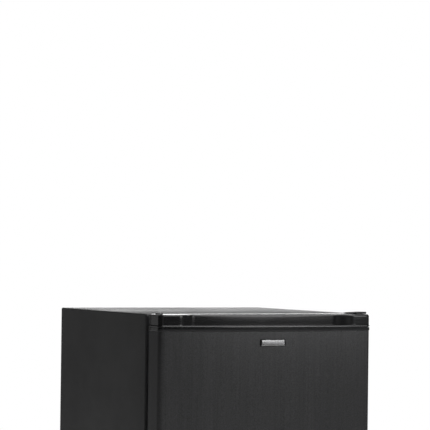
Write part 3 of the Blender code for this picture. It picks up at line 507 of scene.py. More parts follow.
def add_piece(name, shape, body, slot, stands_for=(), look=None, sharp=38.0):
    """The shape as an object that rides on a body and stands for CAD nodes."""
    bmesh.ops.recalc_face_normals(shape, faces=shape.faces)
    mesh = mesh_of(name, shape)
    mesh.materials.append(look or LOOKS[slot])
    mesh.shade_smooth()
    mesh.set_sharp_from_angle(angle=math.radians(sharp))
    made = held(name, mesh)
    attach(made, body)
    if stands_for:
        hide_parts(*stands_for)
    return made


def refined(node, slot, edge, segments):
    """The CAD node's own shape with its sharp edges broken, as a pressed or moulded edge is."""
    shape = bmesh.new()
    shape.from_mesh(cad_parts[node].data)
    bmesh.ops.remove_doubles(shape, verts=shape.verts, dist=1e-6)
    flat = math.radians(0.5)
    bmesh.ops.dissolve_limit(shape, angle_limit=flat, verts=shape.verts, edges=shape.edges)
    made = held(node + "_visual", mesh_of(node + "_visual", shape))
    bevel = made.modifiers.new("edges", "BEVEL")
    bevel.width = edge
    bevel.segments = segments
    bevel.limit_method = "ANGLE"
    bevel.angle_limit = math.radians(35)
    bevel.use_clamp_overlap = True
    add_piece(node + "_refined", baked(made), "cabinet", slot, (node,))


def thickened(shape, thickness, side):
    """The open surface given a thickness, as a new shape."""
    holder = held("thickening", mesh_of("thickening", shape))
    wall = holder.modifiers.new("wall", "SOLIDIFY")
    wall.thickness = thickness
    wall.offset = side
    wall.use_even_offset = True
    return baked(holder)


def carve(holder, recess):
    """Cuts the recess shape out of the piece for good."""
    bmesh.ops.recalc_face_normals(recess, faces=recess.faces)
    cutter = held("recess", mesh_of("recess", recess))
    cut = holder.modifiers.new("recess", "BOOLEAN")
    cut.operation = "DIFFERENCE"
    cut.solver = "EXACT"
    cut.use_self = True
    cut.object = cutter
    holder.data = final_mesh(holder)
    holder.modifiers.clear()
    bpy.data.objects.remove(cutter, do_unlink=True)


def spun(name, node, body, slot, profile, sides=36, axis="Z"):
    """A piece turned about the middle of the node it stands for."""
    spot = middle(node)
    shape = bmesh.new()
    spot["XYZ".index(axis)] = 0.0
    turned(shape, profile, spot, axis, sides)
    add_piece(name, shape, body, slot, (node,))


def basin(name, node, body, slot, rings, corner, steps=7, ribs=None):
    """A moulded tray from its rings, with low ribs along its floor if asked for."""
    low, high = box_of(node)
    shape = bmesh.new()
    ringed(shape, (low.x, low.y), (high.x, high.y), rings, corner, "Z", steps)
    if ribs:
        count, inset, base, top, edge = ribs
        for i in range(count):
            x = low.x + 0.03 + (high.x - low.x - 0.06) * i / (count - 1)
            near, far = (x - 0.0012, low.y + inset, base), (x + 0.0012, high.y - inset, top)
            soft_box(shape, near, far, 0.001, edge, "Z", 2)
    add_piece(name, shape, body, slot, (node,))


# ---------------------------------------------------------------- cabinet
def rims(shape, outer, inner):
    """Closes the gap all round between two skins with rows alike."""
    for end in (0, -1):
        joined(shape, [row[end] for row in outer], [row[end] for row in inner])
        joined(shape, outer[end], inner[end])


def cabinet_skin():
    """One sheet folded over the top and sides, its front edge turned in round a small bend."""
    radius, fold, steps = 0.003, 0.0016, 10
    mouth, ceiling = HALF - FLANGE, TOP - FLANGE
    stations = []
    for part in (i / steps for i in range(steps)):
        point = (-HALF, BASE + (TOP - radius - BASE) * part)
        stations.append((point, (-1.0, 0.0), (-mouth, BASE + (ceiling - BASE) * part)))
    for leave, near in quarter(8):
        point = (-HALF + radius * leave, TOP - radius * near)
        stations.append((point, (leave - 1, 1 - near), (-mouth, ceiling)))
    for part in (i / steps for i in range(1, steps)):
        point = (-HALF + radius + (HALF - radius) * part, TOP)
        stations.append((point, (0.0, 1.0), (-mouth * (1 - part), ceiling)))
    mirrored = [((-p[0], p[1]), (-n[0], n[1]), (-m[0], m[1])) for p, n, m in reversed(stations)]
    stations += [((0.0, TOP), (0.0, 1.0), (0.0, ceiling))] + mirrored
    shape = bmesh.new()
    skins = []
    for depth in (0.0, SHEET):
        bend = fold - depth
        path = [(depth, y) for y in (BACK, (BACK + FRONT) / 2, FRONT + fold)]
        path += [(depth + bend * a, FRONT + depth + bend * b) for a, b in quarter(4)[1:]]
        rows = []
        for (x, z), (nx, nz), (mx, mz) in stations:
            row = [(x - nx * sunk, y, z - nz * sunk) for sunk, y in path]
            rows.append(row + [(mx, FRONT + depth, mz)])
        skins.append(lofted(shape, rows))
    rims(shape, *skins)
    add_piece("cabinet_skin", shape, "cabinet", "charcoal_paint", ("cabinet_wrapper",))


def rear_panel():
    """A flat sheet with three pressed upright beads."""
    low, high = box_of("back_panel")
    beads = (-0.060, 0.0, 0.060)
    half_bead, proud, margin, run_in = 0.005, 0.0016, 0.05, 0.008
    xs = {round(low.x + (high.x - low.x) * i / 8, 5) for i in range(9)}
    xs = sorted(xs | {bead + 0.001 * i for bead in beads for i in range(-5, 6)})
    inward = [0.0, 0.03] + [margin + 0.002 * i for i in range(6)]
    zs = sorted([low.z + step for step in inward] + [high.z - step for step in inward])

    def raised(x, z):
        near = min(abs(x - bead) for bead in beads) / half_bead
        inside = min(z - low.z, high.z - z) - margin
        run = min(1.0, max(0.0, inside / run_in))
        return proud * math.cos(near * math.pi / 2) ** 2 * run if near < 1.0 else 0.0

    shape = bmesh.new()
    outer = lofted(shape, [[(x, high.y + raised(x, z), z) for x in xs] for z in zs])
    rims(shape, outer, lofted(shape, [[(x, low.y, z) for x in xs] for z in zs]))
    add_piece("rear_sheet", shape, "cabinet", "zinc", ("back_panel",))


def food_liner():
    """The vacuum-formed inner liner: rounded corners, a step over the machinery, rim and ribs."""
    radius, mouth, steps = 0.007, 0.0035, 5
    rim_y = FRONT + 0.0004
    start = rim_y + mouth
    profile = [(start, FLOOR), (STEP_FRONT, FLOOR), (STEP_FRONT, STEP_TOP)]
    profile += [(INSIDE_BACK, STEP_TOP), (INSIDE_BACK, CEILING), (start, CEILING)]
    shape = bmesh.new()
    left, right = [[shape.verts.new((x, y, z)) for y, z in profile] for x in (-INSIDE, INSIDE)]
    shape.faces.new(left)
    shape.faces.new(reversed(right))
    for i in range(len(profile)):
        j = (i + 1) % len(profile)
        front = shape.faces.new((left[i], right[i], right[j], left[j]))
    edges = [e for e in shape.edges if any(abs(v.co.y - start) > 1e-6 for v in e.verts)]
    bmesh.ops.delete(shape, geom=[front], context="FACES_ONLY")
    bevel = {"offset": radius, "segments": steps, "profile": 0.5, "affect": "EDGES"}
    bmesh.ops.bevel(shape, geom=edges, **bevel)
    rows = []
    for leave, near in quarter(steps):
        grow = mouth * leave
        corners = (-INSIDE - grow, FLOOR - grow), (INSIDE + grow, CEILING + grow)
        ring = outline(*corners, radius + grow, steps)
        rows.append([(a, rim_y + mouth * near, b) for a, b in ring])
    edge = FLANGE + CLEAR
    ring = outline((edge - HALF, BASE + edge), (HALF - edge, TOP - edge), 0.002, steps)
    rows.append([(a, rim_y, b) for a, b in ring])
    lofted(shape, rows, wrap=True)
    bmesh.ops.remove_doubles(shape, verts=shape.verts, dist=2e-5)
    bmesh.ops.recalc_face_normals(shape, faces=shape.faces)
    probe = max(shape.faces, key=lambda face: face.calc_center_median().z)
    shape = thickened(shape, 0.0012, 1.0 if probe.normal.z > 0 else -1.0)
    for top in (0.140, 0.228, 0.276, 0.322):
        end = STEP_FRONT if top < STEP_TOP else INSIDE_BACK - 0.010
        for side in (-1, 1):
            a, b = sorted((side * (INSIDE - 0.008), side * (INSIDE + 0.0008)))
            soft_box(shape, (a, FRONT + 0.085, top - 0.004), (b, end, top), 0.0015, 0.003, "Y", 3)
    low, high = box_of("evaporator_box")
    hanger = [(0.0, high.z + CLEAR), (0.006, high.z + CLEAR)]
    hanger += at(0, CEILING, (6, -2), (8, 0.5), (0, 0.5))
    for x in (low.x + 0.02, high.x - 0.02):
        for y in (low.y + 0.02, low.y + 0.20):
            turned(shape, hanger, (x, y, 0.0), sides=24)
    add_piece("food_liner", shape, "cabinet", "white_plastic", ("cabinet_liner",))


def hinge_cover():
    """A shallow moulding, thin at its rear left and rising to its front right, open below."""
    low, high = box_of("hinge_cover")
    wall, thin, edge = 0.0011, 0.0020, 0.0005
    rise_start, rise_run = 0.0095, 0.0240
    ring = outline((low.x, low.y), (high.x, high.y), 0.006)
    centre = (low + high) / 2
    half = (high.x - low.x) / 2

    def roof(x, y):
        along = (x - low.x) * 0.885 + (high.y - y) * 0.466
        part = min(1.0, max(0.0, (along - rise_start) / rise_run))
        return low.z + thin + (high.z - low.z - thin) * part

    def under(x, y):
        return max(low.z + 0.0004, roof(x, y) - wall)

    def flat(x, y):
        return low.z

    def scaled(inset, level):
        share = 1 - inset / half
        row = [centre.xy + (Vector(point) - centre.xy) * share for point in ring]
        return [(*point, level(*point)) for point in row]

    def shoulder(share):
        return lambda x, y: low.z + (roof(x, y) - low.z) * share

    rows = [scaled(wall, flat), scaled(0.0001, flat)]
    rows += [scaled(edge * leave, shoulder(1 - 0.16 * near)) for leave, near in quarter(5)]
    rows += [scaled(half * part, roof) for part in (0.30, 0.55, 0.80)]
    shape = bmesh.new()
    for skin in (rows, [rows[0], scaled(wall, under), scaled(half * 0.6, under)]):
        shape.faces.new(lofted(shape, skin, wrap=True)[-1])
    bmesh.ops.remove_doubles(shape, verts=shape.verts, dist=1e-6)
    add_piece("hinge_cap", shape, "cabinet", "black_plastic", ("hinge_cover",), LOOKS["matt_black"])


def cross_screw(name, node, head, thick, axis):
    """A pan-head screw with a cross recess, its head at its low end."""
    way = "XYZ".index(axis)
    low, high = box_of(node)
    spot = (low + high) / 2
    crown, base, foot, shank = low[way], low[way] + thick, high[way], 0.002
    across = [spot[i] for i in range(3) if i != way]
    profile = [(0.0, foot), (shank * 0.7, foot), (shank, foot - 0.002), (shank, base), (head, base)]
    profile += [(head, base - thick * 0.35), (head * 0.86, base - thick * 0.8)]
    profile += [(head * 0.55, crown), (0.0, crown)]
    shape = bmesh.new()
    turned(shape, profile, AXES[axis](*across, 0.0), axis, 32)
    holder = add_piece(name, shape, "cabinet", "zinc", (node,))
    recess = bmesh.new()
    for long, thin in ((0.62, 0.15), (0.15, 0.62)):
        corners = []
        for i in (-head, head):
            deep = math.copysign(0.0009, i)
            corners.append(AXES[axis](across[0] + i * long, across[1] + i * thin, crown + deep))
        soft_box(recess, *corners, 0.0002, 0.0001, axis)
    carve(holder, recess)


def feet():
    for label in ("left", "right"):
        node = f"levelling_foot_{label}"
        low, high = box_of(node)
        x, y = (low.x + high.x) / 2, (low.y + high.y) / 2
        rim = (high.x - low.x) / 2

        def scallop(reach, height, angle):
            if reach < rim * 0.8:
                return reach
            return reach - 0.0011 * (0.5 + 0.5 * math.cos(angle * 12)) * min(1.0, reach / rim)

        shape = bmesh.new()
        profile = [(0.0, 0.0), (rim * 0.92, 0.0), (rim, 0.0012), (rim, 0.0076), (rim * 0.9, 0.009)]
        profile += at(0, 0, (7, 9.2), (6.2, 10.8), (0, 10.8))
        turned(shape, profile, (x, y, 0.0), sides=96, flutes=scallop)
        thread = []
        turns, pitch, parts, radius = 15, 0.0015, 24, 0.0036
        for i in range(turns * parts + 1):
            angle = 2 * math.pi * i / parts
            a, b = x + radius * math.cos(angle), y + radius * math.sin(angle)
            thread.append((a, b, 0.0105 + pitch * i / parts))
        swept(shape, thread, 0.0004, 5)
        core = at(0, 0, (0, 10), (3.6, 10), (3.6, 33.5), (3.0, 34), (0, 34))
        turned(shape, core, (x, y, 0.0), sides=24)
        add_piece(f"foot_{label}", shape, node, "black_plastic", (node,))
        pad = at(0, 0, (0, 0), (9.5, 0), (11, 1.2), (11.8, 9), (13, 16.5), (12.6, 17.7), (0, 17.7))
        spun(f"rear_pad_{label}", f"rear_foot_{label}", "cabinet", "black_rubber", pad, 40)


# ---------------------------------------------------------------- door
def door_stations(front_steps=110):
    """(point, outward normal) round the door in plan, from rear left to rear right."""
    corner_steps, side_steps, tuck_steps = 12, 6, 3
    inset = HALF - CORNER_RADIUS
    reach = math.sqrt((BOW_RADIUS - CORNER_RADIUS) ** 2 - inset**2)
    centre = APEX + BOW_RADIUS
    corner_y = centre - reach
    end = math.asin(inset / (BOW_RADIUS - CORNER_RADIUS))
    lean = Vector((-TUCK_RUN, SIDE_TUCK)).normalized()
    left = []
    for part in (i / tuck_steps for i in range(tuck_steps)):
        left.append((Vector((-HALF + SIDE_TUCK * (1 - part), DOOR_BACK - TUCK_RUN * part)), lean))
    for i in range(side_steps):
        near = DOOR_BACK - TUCK_RUN
        y = near + (corner_y - near) * i / side_steps
        left.append((Vector((-HALF, y)), Vector((-1.0, 0.0))))
    for i in range(corner_steps):
        angle = (math.pi / 2 - end) * i / corner_steps
        normal = Vector((-math.cos(angle), -math.sin(angle)))
        left.append((Vector((-inset, corner_y)) + normal * CORNER_RADIUS, normal))
    front = []
    for i in range(front_steps + 1):
        angle = end * (2 * i / front_steps - 1)
        normal = Vector((math.sin(angle), -math.cos(angle)))
        front.append((Vector((0.0, centre)) + normal * BOW_RADIUS, normal))
    right = [(Vector((-p.x, p.y)), Vector((-n.x, n.y))) for p, n in reversed(left)]
    return left + front + right


def door_rows(stations, section_at):
    return [[(*(p + n * out), z) for out, z in section_at(p)] for p, n in stations]


def door_cap(name, node, section_at, front_steps=110):
    """A moulding right through the door; its section at a station is (outward, height) points."""
    shape = bmesh.new()
    made = lofted(shape, door_rows(door_stations(front_steps), section_at))
    shape.faces.new([row[0] for row in made])
    shape.faces.new([row[-1] for row in reversed(made)])
    shape.faces.new(list(made[0]) + list(reversed(made[-1])))
    add_piece(name, shape, "door", "black_plastic", (node,))


def arc(centre, radius, start, end, steps):
    """(outward, height) points on an arc, with angles in degrees from outward towards up."""
    points = []
    for i in range(steps + 1):
        angle = math.radians(start + (end - start) * i / steps)
        points.append((centre[0] + radius * math.cos(angle), centre[1] + radius * math.sin(angle)))
    return points


def door_skin():
    low, high, hem, rows = PANEL_LOW + CLEAR, PANEL_HIGH - CLEAR, 0.0002, 8
    section = [(-SHEET, low), (-hem, low), (0.0, low + hem)]
    section += [(0.0, low + (high - low) * i / rows) for i in range(1, rows)]
    section += [(0.0, high - hem), (-hem, high), (-SHEET, high)]
    shape = bmesh.new()
    lofted(shape, door_rows(door_stations(), lambda point: section), wrap=True, ends=True)
    add_piece("door_skin", shape, "door", "black_steel", ("door_panel",))


def top_cap():
    """A nosed lip, the grip recess with its pocket, and a rounded post at each end."""
    z = PANEL_HIGH
    lip = [(-0.0012, z)] + at(LIP, z, (-0.9, 0), (-0.5, 0.3), (-0.3, 0.9), (-0.3, 6.0), (-0.6, 6.2))
    lip += at(LIP, z, (-2.0, 6.3), (-2.0, 7.7), (-0.2, 7.9), (0, 8.3))
    lip += arc((LIP - 0.0026, LEDGE - 0.0026), 0.0026, 0, 90, 6)
    heights = (0.3, 0.6, 0.9, 1.2, 1.5, 2, 9)
    post = at(0, LEDGE, (0.3, 0), *((0, height) for height in heights))
    post += arc((-0.004, CAP_TOP - 0.004), 0.004, 0, 90, 6)
    floor = at(-GRIP_LIP, LEDGE, (1, 0), (0, -1)) + at(-GRIP_LIP, POCKET, (-0.6, 3), (-3, 0))
    floor += at(-GRIP_BACK, POCKET, (4, 0), (1, 1.5), (0, 6)) + at(-GRIP_BACK, LEDGE, (0, 4))

    def section(point):
        near = min(1.0, max(0.0, (GRIP_END - abs(point.x)) / (GRIP_END - GRIP_HALF)))
        part = near * near * (3 - 2 * near)
        slope = SLOPE_BACK - point.y - GRIP_BACK
        top = CAP_TOP - max(0.0, slope) * FALL
        grip = floor + arc((-GRIP_BACK - 0.0012, top - 0.0012), 0.0012, 0, 90, 6)
        pairs = zip(post, grip)
        mixed = [(a[0] + (b[0] - a[0]) * part, a[1] + (b[1] - a[1]) * part) for a, b in pairs]
        back = -0.0055 - (GRIP_BACK + max(0.004, slope) - 0.0055) * part
        return lip + mixed + [(back, CAP_TOP)]

    door_cap("top_cap", "door_top_cap", section, 220)


def bottom_cap():
    low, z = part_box("door_bottom_cap")[0][2], PANEL_LOW
    section = [(-0.004, low), (LIP - 0.003, low)]
    section += arc((LIP - 0.002, low + 0.002), 0.002, -90, 0, 5)
    section += at(LIP, z, (0, -3.5), (-0.6, -2.8), (-0.6, -2.2), (0, -1.6), (0, -0.6), (-0.6, 0))
    section += [(-0.0012, z)]
    door_cap("bottom_cap", "door_bottom_cap", lambda point: section)


def gasket():
    """The magnetic seal: a flat foot on the door, a folded bellows and the magnet's pocket."""
    low, high = box_of("door_gasket")
    a, b = low.y, high.y
    section = at(0, a, (0.6, 0), (15.2, 0), (15.8, 0.8), (15.0, 1.8), (11.8, 2.6), (12.8, 3.6))
    section += at(0, a, (15.0, 4.6), (12.8, 5.8), (14.0, 6.6), (15.6, 7.4))
    section += at(0, b, (15.8, -0.8), (15.0, -0.1), (1.2, -0.1), (0.3, -0.8))
    section += at(0, a, (0.3, 7.4), (2.2, 6.6), (3.4, 5.8), (1.0, 4.6), (3.4, 3.6), (4.4, 2.6))
    section += at(0, a, (0.8, 1.8), (0.2, 0.8))
    rows = []
    for inset, y in section:
        corners = (low.x + inset, low.z + inset), (high.x - inset, high.z - inset)
        rows.append([(p, y, q) for p, q in outline(*corners, max(0.004 - inset, 0.0008), 3)])
    shape = bmesh.new()
    lofted(shape, rows, wrap=True, loop=True)
    add_piece("door_seal", shape, "door", "gasket_rubber", ("door_gasket",), sharp=55.0)


def door_inner():
    """The door's formed inner face: a ridge round the racks' well, and a raised upper field."""
    low, high = box_of("door_liner")
    face, top = DOOR_BACK, high.y
    size = (low.x, low.z), (high.x, high.z)
    ridge = (-0.166, 0.075), (0.166, 0.340)
    well = (-0.150, 0.090), (0.150, 0.325)
    rows = []

    def ring(corners, grow, radius, y):
        (x, z), (far_x, far_z) = corners
        shrunk = outline((x - grow, z - grow), (far_x + grow, far_z + grow), radius, 8)
        rows.append([(p, y, q) for p, q in shrunk])

    ring(size, 0.0, 0.0015, face - PLASTIC)
    ring(size, 0.0, 0.0015, face - 0.0005)
    ring(size, -0.0005, 0.0015, face)
    bend = 0.004
    for leave, near in quarter(5):
        ring(ridge, bend * near, 0.014, face + bend * leave)
    for leave, near in quarter(5):
        ring(ridge, -bend * leave, 0.010, top - bend * near)
    for leave, near in quarter(5):
        ring(well, bend * near, 0.009, top - bend * leave)
    for leave, near in quarter(5):
        ring(well, -0.005 * leave, 0.006, face + 0.005 * near + 0.0003)
    shape = bmesh.new()
    lofted(shape, rows, wrap=True, ends=True)
    field = (-0.160, face - 0.001, 0.358), (0.160, face + 0.0030, 0.452)
    soft_box(shape, *field, 0.012, 0.0028, "Y", 6)
    for node in ("door_rack_lower", "door_rack_upper"):
        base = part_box(node)[0][2]
        for a, b in ((-0.1508, -0.1455), (0.1455, 0.1508)):
            stud = (a, FRONT, base + 0.010), (b, FRONT + 0.012, base + 0.030)
            soft_box(shape, *stud, 0.0015, 0.0012, "X", 3)
    add_piece("door_inner", shape, "door", "white_plastic", ("door_liner",))


def badge():
    """A blank satin plate in a black frame, with a bright strip along its top."""
    low, high = box_of("badge_plate")
    shape = bmesh.new()
    rings = [(0.0, high.y)] + at(0, low.y, (0, 0.4), (0.3, 0), (1.8, 0), (2.2, 0.3), (2.3, 0.5))
    ringed(shape, (low.x, low.z), (high.x, high.z), rings, 0.0015, "Y", 6)
    add_piece("badge_frame", shape, "door", "black_plastic", ("badge_plate",))
    left, right, face = low.x + 0.0026, high.x - 0.0026, low.y + 0.00005
    inlay = (left, face, low.z + 0.0026), (right, face + 0.0005, high.z - 0.0026)
    strip = (left, low.y, high.z - 0.0024), (right, low.y + 0.0005, high.z - 0.0006)
    for name, corners, corner, look in (
        ("badge_inlay", inlay, 0.0008, "dark_satin"),
        ("badge_strip", strip, 0.0006, "chrome"),
    ):
        shape = bmesh.new()
        soft_box(shape, *corners, corner, 0.0002, "Y")
        add_piece(name, shape, "door", "black_plastic", (), LOOKS[look])


def door_hardware():
    node = "hinge_hole_plug"
    low, high = box_of(node)
    rim = (high.x - low.x) / 2
    profile = at(0, low.z, (0, 0), (5.2, 0), (6, 1)) + at(0, CAP_TOP, (6, 0.1))
    profile += at(rim, CAP_TOP, (0, 0.1), (0, 0.8)) + at(rim, high.z, (-1.1, -0.7), (-2.2, 0))
    profile += at(0, high.z, (3, 0), (2.6, -0.4), (0, -0.4))
    spun("hinge_plug", node, "door", "black_plastic", profile, 48)
    flange = ((9, 0), (9, 2.3), (6, 2.3))
    for label, foot in (("upper", ((6, 0),)), ("lower", flange)):
        node = f"{label}_hinge_bush"
        low, high = box_of(node)
        profile = at(0, low.z, (3.8, 0), *foot)
        profile += at(0, high.z, (6, -0.4), (5.6, 0), (3.8, 0)) + [(0.0038, low.z)]
        spun(f"bush_{label}", node, "door", "white_plastic", profile)


def rack(label):
    """A clear moulded bin with drafted walls and a rolled rim."""
    node = f"door_rack_{label}"
    low, high = box_of(node)
    wall, draft, bend = 0.0020, 0.0025, 0.003
    base = low.z + wall
    rings = [(draft + bend * near, low.z + bend * leave) for leave, near in quarter(3)]
    rings += at(0, high.z, (1.4, -8), (0.2, -7.4), (0, -6.6), (0, -0.8), (0.4, -0.2), (1, 0))
    rings += at(0, high.z, (1.8, 0), (2.6, -0.6), (3.4, -8))
    rings += [(draft + wall + bend * leave, base + bend * near) for leave, near in quarter(3)]
    ribs = (9, 0.012, base - 0.0003, base + 0.001, 0.0006)
    basin(f"rack_{label}", node, node, "clear_plastic", rings, 0.009, ribs=ribs)


# ---------------------------------------------------------------- food compartment
def evaporator():
    """A roll-bonded aluminium box: a folded sheet with raised channels, open at its front."""
    low, high = box_of("evaporator_box")
    wall, bend, rows_deep, longest = 0.0018, 0.006, 60, 0.012
    centre, half = (low + high) / 2, (high - low) / 2

    def channel(y):
        """How proud the refrigerant channels stand at a depth."""
        edge = min(1.0, max(0.0, (min(y - low.y, high.y - y) - 0.016) / 0.006))
        wave = 0.5 + 0.5 * math.cos(2 * math.pi * (y - low.y) / 0.036)
        return 0.0009 * max(0.0, wave * 2 - 1) * edge

    def skin(depth, sign):
        corners = (low.x + depth, low.z + depth), (high.x - depth, high.z - depth)
        ring = [Vector(point) for point in outline(*corners, bend - depth, 8)]
        fine = []
        for here, there in zip(ring, ring[1:] + ring[:1]):
            parts = max(1, int((there - here).length / longest))
            fine += [here + (there - here) * k / parts for k in range(parts)]
        rows = []
        for k in range(rows_deep + 1):
            y = low.y + (high.y - low.y) * k / rows_deep
            row = []
            for p, q in fine:
                a, b = p - centre.x, q - centre.z
                to_side, to_top = abs(a) / half.x, abs(b) / half.z
                proud = 0.0 if min(to_top, to_side) > 0.9 else channel(y) * sign
                if to_side >= to_top:
                    row.append((p + math.copysign(0.25 * proud, a * sign), y, q))
                else:
                    share = 0.25 if b > 0 else 0.6
                    row.append((p, y, q + math.copysign(share * proud, b * sign)))
            rows.append(row)
        return rows

    shape = bmesh.new()
    outer = lofted(shape, skin(0.0002, 1.0), wrap=True)
    inner = lofted(shape, skin(wall, -1.0)[:-1], wrap=True)
    joined(shape, outer[0] + outer[0][:1], inner[0] + inner[0][:1])
    shape.faces.new(outer[-1])
    shape.faces.new(inner[-1])
    add_piece("ice_compartment", shape, "cabinet", "aluminium", ("evaporator_box",))


def flap():
    """The ice compartment's clear flap: a panel with a border, ribs, pivots and a pull."""
    low, high = box_of("icebox_flap")
    y, z = FRONT + 0.109, 0.4425
    left, right = low.x + 0.0045, high.x - 0.0045
    shape = bmesh.new()
    rings = at(0, y, (0, 1.8), (0, -1.9), (0.6, -2.5), (3, -2.5), (4, -1.6), (4, -1.4))
    ringed(shape, (left, low.z), (right, z + 0.0024), rings, 0.006, "Y", 6)
    rod(shape, 0.0019, low.x, high.x, (0.0, y, z), "X", 20)
    pull = (-0.063, y - 0.0100, low.z + 0.004), (0.017, y - 0.0010, low.z + 0.0070)
    soft_box(shape, *pull, 0.003, 0.0010, "Z", 4)
    for i in range(5):
        base = low.z + 0.024 + 0.012 * i
        rib = (left + 0.02, y - 0.0021, base), (right - 0.02, y - 0.0010, base + 0.0016)
        soft_box(shape, *rib, 0.0006, 0.0004, "Y", 2)
    add_piece("ice_flap", shape, "icebox_flap", "clear_plastic", ("icebox_flap",))


def tray():
    low, high = box_of("drip_tray")
    base = low.z + 0.0020
    rings = at(0, low.z, (4.5, 0), (3, 0.4), (1.8, 2))
    rings += at(0, high.z, (0.6, -3.5), (0, -3), (0, -0.5), (0.4, 0), (2.2, 0), (2.6, -0.6))
    rings += at(0, base, (3.8, 2), (7, 0))
    ribs = (7, 0.020, base - 0.0003, base + 0.0008, 0.0005)
    basin("melt_tray", "drip_tray", "drip_tray", "clear_plastic", rings, 0.010, ribs=ribs)


def shelf():
    low, high = box_of("wire_shelf")
    rim, count, reach = 0.002, 23, 0.160
    z = low.z + rim
    x, far_x, y, far_y = low.x + rim, high.x - rim, low.y + rim, high.y - rim
    corners = [(x, y, z), (far_x, y, z), (far_x, far_y, z), (x, far_y, z)]
    shape = bmesh.new()
    swept(shape, rounded(corners, 0.012, 8, closed=True), rim, 14, closed=True)
    mid = (low.y + high.y) / 2
    for bar in (mid - 0.055, mid + 0.055):
        swept(shape, [(x, bar, z), (far_x, bar, z)], 0.0018, 12)
    for i in range(count):
        x = reach * (2 * i / (count - 1) - 1)
        path = [(x, low.y + rim * 0.6, z + 0.0012), (x, y + 0.0016, z + 0.0022)]
        path += [(x, far_y - 0.0016, z + 0.0022), (x, high.y - rim * 0.6, z + 0.0012)]
        swept(shape, rounded(path, 0.001, 3), 0.00125, 10)
    add_piece("shelf_grid", shape, "wire_shelf", "white_enamel", ("wire_shelf",))


def dial_digit(digit, place, spin):
    """A digit on the knob, made a thin mesh."""
    name = f"dial_digit_{digit}"
    curve = bpy.data.curves.new(name, "FONT")
    curve.body = digit
    curve.size = 0.0042
    curve.extrude = 0.00006
    curve.align_x = curve.align_y = "CENTER"
    curve.resolution_u = 4
    shape = baked(held(name + "_text", curve))
    shape.transform(Matrix.Translation(place) @ Matrix.Rotation(math.pi / 2, 4, "X") @ spin)
    bmesh.ops.remove_doubles(shape, verts=shape.verts, dist=1e-6)
    add_piece(name, shape, "thermostat_knob", "white_plastic", (), LOOKS["black_print"])


def thermostat():
    low, high = box_of("thermostat_housing")
    edge = 0.004
    rings = [(0.0, high.y)]
    rings += [(edge * leave, low.y + edge * near) for leave, near in quarter(5)]
    shape = bmesh.new()
    ringed(shape, (low.x, low.z), (high.x, high.z), rings, 0.005, "Y", 5)
    for i in range(6):
        y = low.y + 0.034 + 0.006 * i
        vent = (low.x - 0.0006, y, low.z + 0.012), (low.x + 0.001, y + 0.0022, high.z - 0.012)
        soft_box(shape, *vent, 0.0008, 0.0005, "X", 2)
    add_piece("dial_housing", shape, "cabinet", "white_plastic", ("thermostat_housing",))
    low, high = box_of("thermostat_knob")
    x, z, y = (low.x + high.x) / 2, (low.z + high.z) / 2, low.y
    rim = (high.x - low.x) / 2

    def fluted(reach, height, angle):
        if reach < rim * 0.9 or height > y + 0.0125:
            return reach
        return reach - 0.0008 * (0.5 - 0.5 * math.cos(angle * 24))

    profile = [(0.0, y + 0.0006), (rim * 0.55, y), (rim * 0.86, y + 0.0002)]
    profile += [(rim * 0.95, y + 0.0012), (rim * 0.97, y + 0.0125), (rim, y + 0.0132)]
    profile += [(rim, y + 0.0156), (rim * 0.96, y + 0.0162), (0.0032, y + 0.0162)]
    profile += [(0.003, y + 0.0164), (0.003, high.y), (0.0, high.y)]
    shape = bmesh.new()
    turned(shape, profile, (x, 0.0, z), "Y", 120, flutes=fluted)
    mark = (x - 0.0011, y, z + 0.004), (x + 0.0011, y + 0.0010, z + rim * 0.8)
    soft_box(shape, *mark, 0.0008, 0.0003, "Y", 3)
    add_piece("dial_knob", shape, "thermostat_knob", "white_plastic", ("thermostat_knob",))
    ring, sweep, digits = 0.0120, 300, "1234567"
    for i, digit in enumerate(digits):
        angle = math.radians(90 - sweep * i / (len(digits) - 1))
        place = Vector((x + ring * math.cos(angle), y + 0.00012, z + ring * math.sin(angle)))
        dial_digit(digit, place, Matrix.Rotation(angle - math.pi / 2, 4, "Z"))


